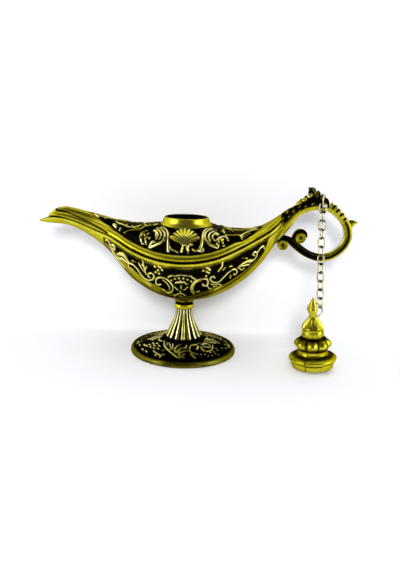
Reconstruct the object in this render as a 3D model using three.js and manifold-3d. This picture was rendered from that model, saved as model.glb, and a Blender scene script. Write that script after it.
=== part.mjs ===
// Genie lamp incense burner: a cast boat-shaped bowl and cover with a long spout, a scroll handle,
// a fluted pedestal, and a finial lid that hangs from the handle on a fine cable chain.
// Millimetres, +Z up, spout towards -X, handle towards +X, foot standing on z = 0.
import * as THREE from 'three';
import { mergeVertices } from 'three/addons/utils/BufferGeometryUtils.js';
import Module from 'manifold-3d';

const wasm = await Module();
wasm.setup();

// Driving sizes of the whole lamp, measured from the pedestal's axis.
const spoutReach = 74.1;
const tailReach = 48;
const handleLength = 37.9;
const bowlHalfWidth = 25;
const bodyRise = 42.4;
const pedestalHeight = 23.2;
const collarHeight = 4.9;
const castWall = 1.6;
const fitGap = 0.3;

// Foot and fluted stem.
const footRadius = 27.5;
const footRimHeight = 2.6;
const footRimWidth = 2.6;
const footDomeHeight = 6.8;
const footRecessHeight = 4.6;
const stemFootRadius = 9.8;
const stemTopRadius = 3.6;
const fluteDepthShare = 0.11;
const fluteCount = 16;
const pointsPerFlute = 4;

// Collar between stem and bowl.
const collarRadius = 4.9;
const collarWaistRadius = 3.5;

// Screw that holds pedestal, collar and bowl together from below.
const screwRadius = 1.4;
const screwClearance = 0.15;
const screwHeadRadius = 2.9;
const screwHeadHeight = 1.9;
const screwSlotWidth = 0.8;
const screwSlotDepth = 0.9;
const washerRadius = 3.1;
const washerThickness = 0.6;
const screwWellRadius = 3.9;
const screwSeatHeight = 14;
const bossRadius = 4.6;
const bossHeight = 5.2;
const threadDepth = 3.8;

// Neck, where incense goes in and the lid plugs.
const neckBoreRadius = 10.35;
const neckLip = 0.65;
const neckFootRadius = 14.2;
const neckHeight = 4.6;
const neckReach = 6.5;

// Main raised lines of the ornament on both shells; the finer ones are left to the visual model.
const reliefRise = 0.5;
const reliefRoot = 0.45;
const reliefWidth = 1.5;
const reliefStep = 2.8;

// Cover rim moulding and spout mouth.
const rimRise = 3.5;
const rimRun = 2.6;
const rimBulge = 0.3;
const rimBulgeShare = 0.3;
const mouthGap = 1.1;
// Below 1 the cover's dome is fuller than an ellipse.
const domeFullness = 0.8;

// Handle strap.
const strapHalfWidth = 1.8;
const strapThickness = 3.55;
const scrollDiscProud = 0.35;
const upperDiscRadius = 2.75;
const lowerDiscRadius = 2.6;
const crestHalfWidth = 1.5;
const crestEdge = 0.35;
const webHalfWidth = 0.8;
const eyeletHeight = 2.6;
const eyeletHalfWidth = 1.3;
const webRise = 2.4;
const webReach = 2.85;
// Middle of the eyelet's floor, as shares of the handle's length and of the body's rise.
const eyeletShares = { x: 0.541, z: 1.16 };

// Chain rings and links.
const ringWire = 0.8;
const topRingRadius = 2.9;
const linkWire = 0.7;
const linkLength = 5.8;
const linkWidth = 4.1;
const linkPlay = 0.12;
const topRingSlack = 0.16;
const lidRingSlack = 0.36;
const ringYawDegrees = 20;
const topHookTurnDegrees = 40;
const linkTwistDegrees = -10;
const fullTwistShare = 4.5;
// Straight distance between the rings' hooks as a share of the chain's full length.
const chainTautShare = 0.9714;

// Lid, standing on the same surface as the foot, as far forward as the slack chain lets it.
const lidHeight = 35.4;
const lidPlugPlay = 0.2;
const lidPlugHeight = 4;
const lidOverhang = 0.75;
const lidFlangeThickness = 2;
const lidTierRadius = 9.5;
const lidConeRadius = 5.6;
const lidBudRadius = 2.25;
const lidNeckRadius = 1.85;
const lidNeckShare = 0.7514;
const lidLobes = 8;
const pointsPerLobe = 5;
const lidPlugWall = 1.95;
const lidRecessHeight = 5;
const lidWellRadius = 4;
const lidWellHeight = 13;
const lidRingRadius = 3.6;
const lidRingTiltDegrees = 50;
const lidHookTurnDegrees = 50;
const lidEyeRadius = 0.85;
const lidRingSeat = 0.22;

// Mesh fineness.
const roundSides = 32;
const wireSides = 6;
const linkEndSteps = 6;
const cutOverrun = 2;

const bowlBottom = pedestalHeight + collarHeight + fitGap;
const neckRim = bowlBottom + bodyRise;
const handleReach = tailReach + handleLength;
const alongHandle = (share) => tailReach + share * handleLength;
const upBody = (share) => bowlBottom + share * bodyRise;
const eyeletX = alongHandle(eyeletShares.x);
const eyeletFloor = upBody(eyeletShares.z);
const eyeletRoof = eyeletFloor + eyeletHeight;
const webTop = eyeletRoof + webRise;
const lidFlangeRadius = neckBoreRadius + neckLip + lidOverhang;
const lidNeckHeight = lidNeckShare * lidHeight;

// Joins ring loops of equal length into one closed skin with a fan on each end.
function loft(rings, closed = false) {
  const positions = [];
  const index = [];
  const count = rings[0].length;
  rings.forEach((ring) => ring.forEach((p) => positions.push(p.x, p.y, p.z)));
  const spans = closed ? rings.length : rings.length - 1;
  for (let i = 0; i < spans; i++) {
    const a = i * count;
    const b = ((i + 1) % rings.length) * count;
    for (let j = 0; j < count; j++) {
      const k = (j + 1) % count;
      index.push(a + j, b + j, b + k, a + j, b + k, a + k);
    }
  }
  if (!closed) {
    capRing(rings[0], 0, index, true);
    capRing(rings[rings.length - 1], (rings.length - 1) * count, index, false);
  }
  const geometry = new THREE.BufferGeometry();
  geometry.setAttribute('position', new THREE.Float32BufferAttribute(positions, 3));
  geometry.setIndex(index);
  return geometry;
}

// Closes one end ring with the triangles of its flat outline.
function capRing(ring, offset, index, flipped) {
  const normal = new THREE.Vector3();
  ring.forEach((p, i) => normal.add(p.clone().cross(ring[(i + 1) % ring.length])));
  normal.normalize();
  const helper = Math.abs(normal.z) < 0.9 ? new THREE.Vector3(0, 0, 1) : new THREE.Vector3(1, 0, 0);
  const u = helper.cross(normal).normalize();
  const v = normal.clone().cross(u);
  const flat = ring.map((p) => new THREE.Vector2(p.dot(u), p.dot(v)));
  THREE.ShapeUtils.triangulateShape(flat, []).forEach(([a, b, c]) => {
    if (flipped) index.push(offset + a, offset + b, offset + c);
    else index.push(offset + a, offset + c, offset + b);
  });
}

// Turns a closed three.js geometry into a solid for joining and cutting.
function solid(geometry) {
  let plain = geometry.clone();
  plain.deleteAttribute('normal');
  plain.deleteAttribute('uv');
  plain = mergeVertices(plain, 1e-5);
  const vertProperties = new Float32Array(plain.attributes.position.array);
  const triVerts = new Uint32Array(plain.index.array);
  let body = new wasm.Manifold(new wasm.Mesh({ numProp: 3, vertProperties, triVerts }));
  if (body.volume() < 0) {
    for (let i = 0; i < triVerts.length; i += 3) [triVerts[i], triVerts[i + 1]] = [triVerts[i + 1], triVerts[i]];
    body = new wasm.Manifold(new wasm.Mesh({ numProp: 3, vertProperties, triVerts }));
  }
  return body;
}

// Gives a solid back as a three.js geometry.
function geometryOf(body) {
  const mesh = body.getMesh();
  const geometry = new THREE.BufferGeometry();
  const positions = [];
  for (let i = 0; i < mesh.vertProperties.length; i += mesh.numProp) {
    positions.push(mesh.vertProperties[i], mesh.vertProperties[i + 1], mesh.vertProperties[i + 2]);
  }
  geometry.setAttribute('position', new THREE.Float32BufferAttribute(positions, 3));
  geometry.setIndex(Array.from(mesh.triVerts));
  return geometry;
}

// A closed turned body about Z from a profile of [radius, height] pairs.
function turned(profile, sides = roundSides) {
  const points = profile.map(([r, z]) => new THREE.Vector2(r, z));
  points.push(points[0].clone());
  return new THREE.LatheGeometry(points, sides).rotateX(Math.PI / 2);
}

// A cylinder along Z between two heights.
function post(radius, low, high, sides = roundSides) {
  return turned([[0, low], [radius, low], [radius, high], [0, high]], sides);
}

function box(x0, x1, y0, y1, z0, z1) {
  const geometry = new THREE.BoxGeometry(x1 - x0, y1 - y0, z1 - z0);
  return geometry.translate((x0 + x1) / 2, (y0 + y1) / 2, (z0 + z1) / 2);
}

// The body's stations from spout tip to tail. The first value is a share of the spout's reach when
// negative and of the tail's reach when positive; the width is a share of the bowl's half width; keel,
// seam and ridge heights are shares of the body's rise above the bowl's bottom.
const stationShares = [
  { along: -1.0, wide: 0.012, keel: 0.892, seam: 0.903, ridge: 0.91, hollow: 0 },
  { along: -0.965, wide: 0.075, keel: 0.884, seam: 0.93, ridge: 0.94, hollow: 0 },
  { along: -0.926, wide: 0.128, keel: 0.881, seam: 0.951, ridge: 0.985, hollow: 0.25 },
  { along: -0.885, wide: 0.164, keel: 0.878, seam: 0.958, ridge: 1.045, hollow: 0.7 },
  { along: -0.825, wide: 0.186, keel: 0.87, seam: 0.952, ridge: 1.072, hollow: 1 },
  { along: -0.74, wide: 0.2, keel: 0.829, seam: 0.915, ridge: 1.05, hollow: 1 },
  { along: -0.655, wide: 0.235, keel: 0.751, seam: 0.86, ridge: 1.014, hollow: 1 },
  { along: -0.575, wide: 0.308, keel: 0.655, seam: 0.812, ridge: 0.974, hollow: 1 },
  { along: -0.51, wide: 0.384, keel: 0.553, seam: 0.778, ridge: 0.946, hollow: 1 },
  { along: -0.45, wide: 0.48, keel: 0.424, seam: 0.733, ridge: 0.924, hollow: 1 },
  { along: -0.37, wide: 0.616, keel: 0.262, seam: 0.664, ridge: 0.903, hollow: 1 },
  { along: -0.285, wide: 0.744, keel: 0.153, seam: 0.61, ridge: 0.894, hollow: 1 },
  { along: -0.2, wide: 0.856, keel: 0.075, seam: 0.574, ridge: 0.906, hollow: 1 },
  { along: -0.105, wide: 0.95, keel: 0.024, seam: 0.556, ridge: 0.925, hollow: 1 },
  { along: 0.0, wide: 1.0, keel: 0.0, seam: 0.554, ridge: 0.934, hollow: 1 },
  { along: 0.15, wide: 0.988, keel: 0.012, seam: 0.568, ridge: 0.927, hollow: 1 },
  { along: 0.25, wide: 0.952, keel: 0.036, seam: 0.589, ridge: 0.91, hollow: 1 },
  { along: 0.34, wide: 0.908, keel: 0.073, seam: 0.616, ridge: 0.892, hollow: 1 },
  { along: 0.467, wide: 0.808, keel: 0.144, seam: 0.668, ridge: 0.862, hollow: 1 },
  { along: 0.594, wide: 0.684, keel: 0.241, seam: 0.732, ridge: 0.851, hollow: 1 },
  { along: 0.717, wide: 0.532, keel: 0.366, seam: 0.797, ridge: 0.878, hollow: 1 },
  { along: 0.835, wide: 0.385, keel: 0.53, seam: 0.863, ridge: 0.934, hollow: 1 },
  { along: 0.9, wide: 0.32, keel: 0.64, seam: 0.913, ridge: 0.984, hollow: 0.6 },
  { along: 0.953, wide: 0.255, keel: 0.729, seam: 0.965, ridge: 1.03, hollow: 0 },
  { along: 1.0, wide: 0.2, keel: 0.8, seam: 1.02, ridge: 1.068, hollow: 0 },
];

const stations = stationShares.map((s) => ({
  x: s.along * (s.along < 0 ? spoutReach : tailReach),
  half: s.wide * bowlHalfWidth,
  keel: bowlBottom + s.keel * bodyRise,
  seam: bowlBottom + s.seam * bodyRise,
  ridge: bowlBottom + s.ridge * bodyRise,
  hollow: s.hollow,
}));

const arcSteps = 12;
const innerSteps = 8;

// Lower half ring: outer belly from edge to edge, then the inner belly back.
function bellyRing(s, swell = 0) {
  const ring = [];
  for (let i = 0; i <= arcSteps; i++) {
    const turn = Math.PI * (i / arcSteps - 0.5);
    const depth = s.seam - s.keel + swell;
    ring.push(new THREE.Vector3(s.x, (s.half + swell) * Math.sin(turn), s.seam - depth * Math.cos(turn)));
  }
  return ring;
}

function lowerRing(s) {
  const ring = bellyRing(s);
  const wall = Math.min(castWall, s.half / 3);
  for (let i = 0; i <= innerSteps; i++) {
    const turn = Math.PI * (0.5 - i / innerSteps);
    const depth = s.hollow * Math.max(s.seam - s.keel - wall, 0);
    ring.push(new THREE.Vector3(s.x, (s.half - wall) * Math.sin(turn), s.seam - depth * Math.cos(turn)));
  }
  return ring;
}

// Half outline of the cover from its rim up to the ridge, as [half width, height] pairs.
function coverOutline(s, lift, swell = 0) {
  const edge = s.seam + lift;
  const room = s.ridge - edge;
  const rise = Math.min(rimRise, room / 2);
  const run = Math.min(rimRun, s.half * 0.42);
  const shoulder = s.half - run;
  const outline = [
    [s.half + swell, edge],
    [s.half - run * 0.12 + rimBulge * Math.min(1, s.half / bowlHalfWidth + rimBulgeShare) + swell, edge + rise * 0.45],
    [shoulder + swell, edge + rise],
  ];
  const domeSteps = 6;
  for (let i = 1; i < domeSteps; i++) {
    const turn = (Math.PI / 2) * (i / domeSteps);
    const top = edge + rise + (room - rise + swell) * Math.sin(turn) ** domeFullness;
    outline.push([(shoulder + swell) * Math.cos(turn) ** domeFullness, top]);
  }
  outline.push([0, s.ridge + swell]);
  return outline;
}

function upperRing(s, lift) {
  const outline = coverOutline(s, lift);
  const ring = outline.map(([y, z]) => new THREE.Vector3(s.x, y, z));
  outline.slice(0, -1).reverse().forEach(([y, z]) => ring.push(new THREE.Vector3(s.x, -y, z)));
  const wall = Math.min(castWall, s.half / 3);
  const edge = s.seam + lift;
  const depth = s.hollow * Math.max(s.ridge - edge - wall, 0);
  for (let i = 0; i <= innerSteps; i++) {
    const turn = Math.PI * (i / innerSteps - 0.5);
    ring.push(new THREE.Vector3(s.x, (s.half - wall) * Math.sin(turn), edge + depth * Math.cos(turn)));
  }
  return ring;
}

// Main lines of the ornament on the front; each is mirrored to the back. A line has its width as a share
// of the full width, then points of [share along the lamp, share over the panel]. A panel starts at the
// rim moulding on the cover and ends at its ridge; on the bowl it starts at the seam and ends at the keel.
const coverLineShares = [
  { wide: 0.6, points: [[-0.61, 0.78], [-0.51, 0.8], [-0.41, 0.86]] },
  { wide: 0.7, points: [[-0.47, 0.71], [-0.34, 0.57], [-0.3, 0.61], [-0.2, 0.86]] },
  { wide: 0.6, points: [[-0.4, 0.14], [-0.375, 0.36], [-0.3, 0.53]] },
  { wide: 0.8, points: [[-0.205, 0.58], [-0.175, 0.39], [-0.184, 0.29]] },
  { wide: 1, points: [[-0.192, 0.67], [-0.161, 0.64], [-0.139, 0.53], [-0.13, 0.41], [-0.136, 0.28], [-0.225, 0.02]] },
  { wide: 1, points: [[-0.162, 0.72], [-0.134, 0.65], [-0.115, 0.52], [-0.104, 0.03]] },
  { wide: 0.7, points: [[-0.093, 0.12], [-0.043, 0.03]] },
  { wide: 0.7, points: [[-0.003, 0.25], [-0.084, 0.37]] },
  { wide: 0.8, points: [[-0.003, 0.25], [-0.049, 0.55]] },
  { wide: 0.8, points: [[-0.003, 0.25], [-0.003, 0.64]] },
  { wide: 0.8, points: [[-0.003, 0.25], [0.071, 0.55]] },
  { wide: 0.7, points: [[-0.003, 0.25], [0.129, 0.36]] },
  { wide: 0.8, points: [[-0.003, 0.25], [-0.032, 0.03]] },
  { wide: 0.8, points: [[-0.003, 0.25], [0.035, 0.04]] },
  { wide: 1, points: [[0.273, 0.77], [0.208, 0.69], [0.181, 0.54], [0.167, 0.19], [0.142, 0.05]] },
  { wide: 1, points: [[0.312, 0.68], [0.217, 0.6], [0.198, 0.45], [0.206, 0.3], [0.238, 0.2], [0.321, 0.05]] },
  { wide: 0.7, points: [[0.283, 0.62], [0.244, 0.52], [0.235, 0.38], [0.25, 0.27]] },
  { wide: 0.6, points: [[0.35, 0.58], [0.542, 0.39]] },
  { wide: 0.6, points: [[0.44, 0.92], [0.55, 0.78], [0.69, 0.93]] },
  { wide: 1, points: [[0.558, 0.42], [0.76, 0.41]] },
];
const bowlLineShares = [
  { wide: 0.8, points: [[-0.53, 0.24], [-0.518, 0.16], [-0.505, 0.21], [-0.472, 0.5], [-0.445, 0.51]] },
  { wide: 0.7, points: [[-0.493, 0.43], [-0.453, 0.56], [-0.4, 0.55]] },
  { wide: 0.8, points: [[-0.449, 0.36], [-0.414, 0.25], [-0.38, 0.26]] },
  { wide: 0.8, points: [[-0.444, 0.45], [-0.416, 0.33], [-0.38, 0.31]] },
  { wide: 0.8, points: [
    [-0.366, 0.28], [-0.333, 0.26], [-0.262, 0.39], [-0.231, 0.39], [-0.204, 0.34], [-0.2, 0.23], [-0.229, 0.27],
  ] },
  { wide: 0.9, points: [[-0.246, 0.3], [-0.266, 0.14]] },
  { wide: 0.6, points: [[-0.255, 0.52], [-0.212, 0.52], [-0.205, 0.45]] },
  { wide: 0.8, points: [
    [-0.15, 0.37], [-0.178, 0.39], [-0.171, 0.28], [-0.117, 0.24], [-0.07, 0.36], [-0.07, 0.45], [-0.112, 0.54],
  ] },
  { wide: 0.7, points: [[-0.099, 0.21], [-0.023, 0.16], [0.062, 0.17], [0.117, 0.22]] },
  { wide: 0.6, points: [[-0.05, 0.29], [-0.003, 0.25], [0.04, 0.29]] },
  { wide: 0.6, points: [[-0.062, 0.59], [-0.02, 0.48], [0.025, 0.56]] },
  { wide: 0.8, points: [
    [0.19, 0.32], [0.231, 0.36], [0.229, 0.26], [0.146, 0.24], [0.079, 0.34], [0.077, 0.42], [0.098, 0.5],
  ] },
  { wide: 0.6, points: [[0.273, 0.44], [0.315, 0.51], [0.369, 0.45]] },
  { wide: 0.8, points: [
    [0.306, 0.27], [0.271, 0.24], [0.281, 0.32], [0.321, 0.36], [0.358, 0.36], [0.479, 0.26], [0.533, 0.35],
    [0.502, 0.37],
  ] },
  { wide: 0.9, points: [[0.537, 0.29], [0.567, 0.26], [0.65, 0.3]] },
  { wide: 0.7, points: [[0.662, 0.34], [0.706, 0.35], [0.731, 0.25], [0.69, 0.21]] },
  { wide: 0.8, points: [[0.737, 0.24], [0.79, 0.22]] },
];

// The body's sizes at a share of its length, between two stations.
function stationAt(along) {
  const next = Math.max(1, stationShares.findIndex((s) => s.along >= along));
  const [before, after] = [stationShares[next - 1].along, stationShares[next].along];
  const share = (along - before) / (after - before);
  const made = {};
  Object.keys(stations[next]).forEach((key) => {
    made[key] = THREE.MathUtils.lerp(stations[next - 1][key], stations[next][key], share);
  });
  return made;
}

// A point on a run of points at a share of the run.
function pointOnRun(run, share) {
  const place = THREE.MathUtils.clamp(share, 0, 1) * (run.length - 1);
  const k = Math.min(Math.floor(place), run.length - 2);
  return run[k].clone().lerp(run[k + 1], place - k);
}

// The front of the cover's dome at one place along the lamp, from the rim moulding to the ridge.
function domeFront(along) {
  const s = stationAt(along);
  return coverOutline(s, fitGap).slice(2).map(([y, z]) => new THREE.Vector3(s.x, -y, z));
}

// The bowl's front at one place along the lamp, from the seam to the keel.
function bellyFront(along) {
  return bellyRing(stationAt(along)).slice(0, arcSteps / 2 + 1);
}

// A raised line with a ridged back, rooted in the wall of the panel that it follows.
function raisedLine({ wide, points }, panelFront) {
  const onPanel = ([along, share]) => pointOnRun(panelFront(along), share);
  const route = [points[0]];
  points.slice(1).forEach((point, i) => {
    const steps = Math.ceil(onPanel(points[i]).distanceTo(onPanel(point)) / reliefStep);
    for (let k = 1; k <= steps; k++) {
      const share = k / steps;
      route.push(point.map((value, axis) => THREE.MathUtils.lerp(points[i][axis], value, share)));
    }
  });
  const line = route.map(onPanel);
  const rings = route.map(([along, share], i) => {
    const nudge = 0.01;
    const acrossRun = onPanel([along, share + nudge]).sub(onPanel([along, share - nudge]));
    const alongRun = onPanel([along + nudge, share]).sub(onPanel([along - nudge, share]));
    const out = alongRun.cross(acrossRun).normalize();
    const inner = new THREE.Vector3(line[i].x, 0, stationAt(along).seam);
    if (out.dot(line[i].clone().sub(inner)) < 0) out.negate();
    const ahead = line[Math.min(i + 1, line.length - 1)].clone().sub(line[Math.max(i - 1, 0)]).normalize();
    const side = ahead.cross(out).normalize().multiplyScalar((wide * reliefWidth) / 2);
    const root = line[i].clone().addScaledVector(out, -reliefRoot);
    return [root.clone().add(side), line[i].clone().addScaledVector(out, reliefRise), root.clone().sub(side)];
  });
  return solid(loft(rings));
}

// Adds the raised lines of one panel, front and back, to its shell.
function withRelief(shell, lines, panelFront) {
  const front = lines.map((line) => raisedLine(line, panelFront));
  const back = front.map((line) => line.mirror([0, 1, 0]));
  return wasm.Manifold.union([shell, ...front, ...back]);
}

// Bowl half with the spout's lower lip and the inside boss for the pedestal screw.
function lowerShell() {
  let shell = withRelief(solid(loft(stations.map(lowerRing))), bowlLineShares, bellyFront);
  shell = shell.add(solid(post(bossRadius, bowlBottom + castWall / 2, bowlBottom + bossHeight)));
  const hole = post(screwRadius + screwClearance, bowlBottom - cutOverrun, bowlBottom + threadDepth);
  return geometryOf(shell.subtract(solid(hole)));
}

// Cover half with the spout's hood and the turned neck.
function upperShell() {
  const hoodStations = stations.slice(2);
  const rings = hoodStations.map((s, i) => {
    const open = Math.max(0, 1 - i / 3);
    return upperRing(s, fitGap + mouthGap * open);
  });
  let shell = withRelief(solid(loft(rings)), coverLineShares, domeFront);
  const neckFoot = neckRim - neckHeight;
  const outside = turned([
    [0, neckFoot - neckReach / 2], [neckFootRadius - 1.5 * neckLip, neckFoot - neckReach / 2],
    [neckFootRadius, neckFoot - 0.3 * neckHeight], [neckFootRadius - neckLip, neckFoot + 0.1 * neckHeight],
    [neckBoreRadius + 3.2 * neckLip, neckFoot + 0.4 * neckHeight],
    [neckBoreRadius + 1.5 * neckLip, neckRim - 0.1 * neckHeight], [neckBoreRadius + neckLip, neckRim], [0, neckRim],
  ]);
  const bore = post(neckBoreRadius, neckFoot - neckReach - cutOverrun, neckRim + cutOverrun);
  shell = shell.add(solid(outside)).subtract(solid(bore));
  return geometryOf(keepLargest(shell));
}

// Drops the slivers that a cut leaves beside the main body.
function keepLargest(body) {
  const parts = body.decompose();
  return parts.reduce((best, part) => (part.volume() > best.volume() ? part : best), parts[0]);
}

// Handle centre line from its root at the tail, over the top and round to the lower arm. Places are
// shares of the handle's length and of the body's rise; thick and wide are shares of the strap.
const strapShares = [
  { x: -0.043, z: 0.891, thick: 2.35, wide: 2.5 },
  { x: 0.037, z: 0.978, thick: 2.2, wide: 2.2 },
  { x: 0.109, z: 1.047, thick: 1.98, wide: 1.7 },
  { x: 0.191, z: 1.107, thick: 1.7, wide: 1.2 },
  { x: 0.297, z: 1.154, thick: 1.54, wide: 1.0 },
  { x: 0.411, z: 1.177, thick: 1.42, wide: 0.86 },
  { x: 0.524, z: 1.184, thick: 1.4, wide: 0.8 },
  { x: 0.615, z: 1.167, thick: 1.42, wide: 0.86 },
  { x: 0.705, z: 1.115, thick: 1.3, wide: 1.0 },
  { x: 0.801, z: 1.03, thick: 1.24, wide: 1.0 },
  { x: 0.871, z: 0.925, thick: 1.24, wide: 1.0 },
  { x: 0.889, z: 0.821, thick: 1.22, wide: 1.0 },
  { x: 0.855, z: 0.726, thick: 1.2, wide: 1.0 },
  { x: 0.78, z: 0.644, thick: 1.16, wide: 1.0 },
  { x: 0.676, z: 0.581, thick: 1.12, wide: 1.0 },
  { x: 0.547, z: 0.557, thick: 1.08, wide: 1.0 },
  { x: 0.406, z: 0.583, thick: 1.08, wide: 1.0 },
  { x: 0.282, z: 0.644, thick: 1.12, wide: 1.0 },
  { x: 0.177, z: 0.716, thick: 1.12, wide: 1.0 },
  { x: 0.098, z: 0.766, thick: 0.9, wide: 1.0 },
  { x: 0.014, z: 0.78, thick: 0.86, wide: 0.95 },
  { x: -0.088, z: 0.75, thick: 0.9, wide: 0.9 },
];
const curlShares = [
  { x: 0.241, z: 0.674, thick: 0.8, wide: 1.0 },
  { x: 0.184, z: 0.741, thick: 0.62, wide: 1.0 },
  { x: 0.175, z: 0.808, thick: 0.52, wide: 1.0 },
  { x: 0.22, z: 0.866, thick: 0.5, wide: 1.0 },
  { x: 0.286, z: 0.88, thick: 0.48, wide: 1.0 },
  { x: 0.345, z: 0.846, thick: 0.42, wide: 1.0 },
  { x: 0.359, z: 0.8, thick: 0.3, wide: 1.0 },
];
const upperDiscShares = { x: 0.272, z: 0.789 };
const lowerDiscShares = { x: 0.032, z: 0.69 };
const spurShares = [
  { x: 0.903, z: 0.975, thick: 1.0, wide: 0.7 },
  { x: 0.95, z: 0.995, thick: 0.66, wide: 0.5 },
  { x: 1, z: 0.996, thick: 0.06, wide: 0.06 },
];
const crestShares = [
  [0.15, 1.142], [0.186, 1.18], [0.234, 1.227], [0.295, 1.271], [0.347, 1.301], [0.32, 1.384],
  [0.381, 1.382], [0.42, 1.331], [0.449, 1.349], [0.483, 1.307], [0.474, 1.234], [0.388, 1.167], [0.252, 1.134],
];

const webShares = [[-1, 0], [1, 0], [1, 0.42], [0.66, 0.8], [0.3, 1], [-1, 1]];

const handlePoint = (s) => new THREE.Vector3(alongHandle(s.x), 0, upBody(s.z));

// Sweeps a rounded strap along shares in the lamp's middle plane.
function strap(table, steps) {
  const path = new THREE.CatmullRomCurve3(table.map(handlePoint), false, 'centripetal');
  const rings = [];
  for (let i = 0; i <= steps; i++) {
    const t = i / steps;
    const at = path.getPoint(t);
    const along = path.getTangent(t);
    const across = new THREE.Vector3(along.z, 0, -along.x);
    const place = t * (table.length - 1);
    const k = Math.min(Math.floor(place), table.length - 2);
    const blend = (key) => THREE.MathUtils.lerp(table[k][key], table[k + 1][key], place - k);
    const tall = (blend('thick') * strapThickness) / 2;
    const deep = blend('wide') * strapHalfWidth;
    rings.push(strapSection(at, across, tall, deep));
  }
  return solid(loft(rings));
}

// A strap's section has ten points: flat sides with rounded shoulders.
function strapSection(at, across, tall, deep) {
  const shoulderShares = [[1, 0], [0.82, 0.62], [0.42, 1], [-0.42, 1], [-0.82, 0.62], [-1, 0], [-0.82, -0.62],
    [-0.42, -1], [0.42, -1], [0.82, -0.62]];
  return shoulderShares.map(([a, b]) => at.clone().addScaledVector(across, a * tall).setY(b * deep));
}

function scrollDisc(shares, radius) {
  const half = strapHalfWidth + scrollDiscProud;
  const geometry = post(radius, -half, half, 20).rotateX(Math.PI / 2);
  return solid(geometry.translate(alongHandle(shares.x), 0, upBody(shares.z)));
}

// Leaf crest on top of the handle, an outline thickened across the strap.
function crest() {
  const outline = crestShares.map(([x, z]) => new THREE.Vector2(alongHandle(x), upBody(z)));
  const geometry = new THREE.ExtrudeGeometry(new THREE.Shape(outline), {
    depth: 2 * (crestHalfWidth - crestEdge), bevelEnabled: true, bevelThickness: crestEdge,
    bevelSize: crestEdge, bevelOffset: -crestEdge, bevelSegments: 1, steps: 1, curveSegments: 1,
  });
  return solid(geometry.translate(0, 0, -(crestHalfWidth - crestEdge)).rotateX(Math.PI / 2));
}

// Space that the two shells fill, swollen by the fitting gap, so the handle seats against them.
function shellSpace() {
  const under = stations.map((s) => {
    const outline = coverOutline(s, 0, fitGap).slice(0, -1);
    const ring = bellyRing(s, fitGap).slice(1, -1);
    outline.forEach(([y, z]) => ring.push(new THREE.Vector3(s.x, y, z)));
    ring.push(new THREE.Vector3(s.x, 0, s.ridge + fitGap));
    outline.reverse().forEach(([y, z]) => ring.push(new THREE.Vector3(s.x, -y, z)));
    return ring;
  });
  const last = under[under.length - 1].map((p) => p.clone().setX(tailReach + fitGap));
  return solid(loft([...under, last]));
}

// Thin web that carries the chain ring, with sloping shoulders.
function web() {
  const outline = webShares.map(([x, z]) => new THREE.Vector2(
    eyeletX + x * webReach, eyeletFloor + z * (webTop - eyeletFloor)));
  const geometry = new THREE.ExtrudeGeometry(new THREE.Shape(outline), {
    depth: 2 * webHalfWidth, bevelEnabled: false, steps: 1, curveSegments: 1,
  });
  return solid(geometry.translate(0, 0, -webHalfWidth).rotateX(Math.PI / 2));
}

function handle() {
  let body = strap(strapShares, 52).add(strap(curlShares, 14)).add(strap(spurShares, 3));
  body = body.add(scrollDisc(upperDiscShares, upperDiscRadius));
  body = body.add(scrollDisc(lowerDiscShares, lowerDiscRadius)).add(crest());
  body = body.add(web());
  [-1, 1].forEach((side) => {
    const far = side * 3 * strapHalfWidth;
    const near = side * webHalfWidth;
    const relief = box(eyeletX - webReach, eyeletX + webReach, Math.min(near, far), Math.max(near, far),
      eyeletFloor - fitGap, webTop + 2 * crestEdge);
    body = body.subtract(solid(relief));
  });
  const left = eyeletX - eyeletHalfWidth;
  const eyelet = box(left, eyeletX + eyeletHalfWidth, -strapHalfWidth, strapHalfWidth, eyeletFloor, eyeletRoof);
  const tailSeam = stations[stations.length - 1].seam;
  const overTail = box(0, tailReach + fitGap, -bowlHalfWidth, bowlHalfWidth, tailSeam, neckRim + bodyRise);
  body = body.subtract(solid(eyelet)).subtract(solid(overTail)).subtract(shellSpace());
  return geometryOf(keepLargest(body));
}

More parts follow.
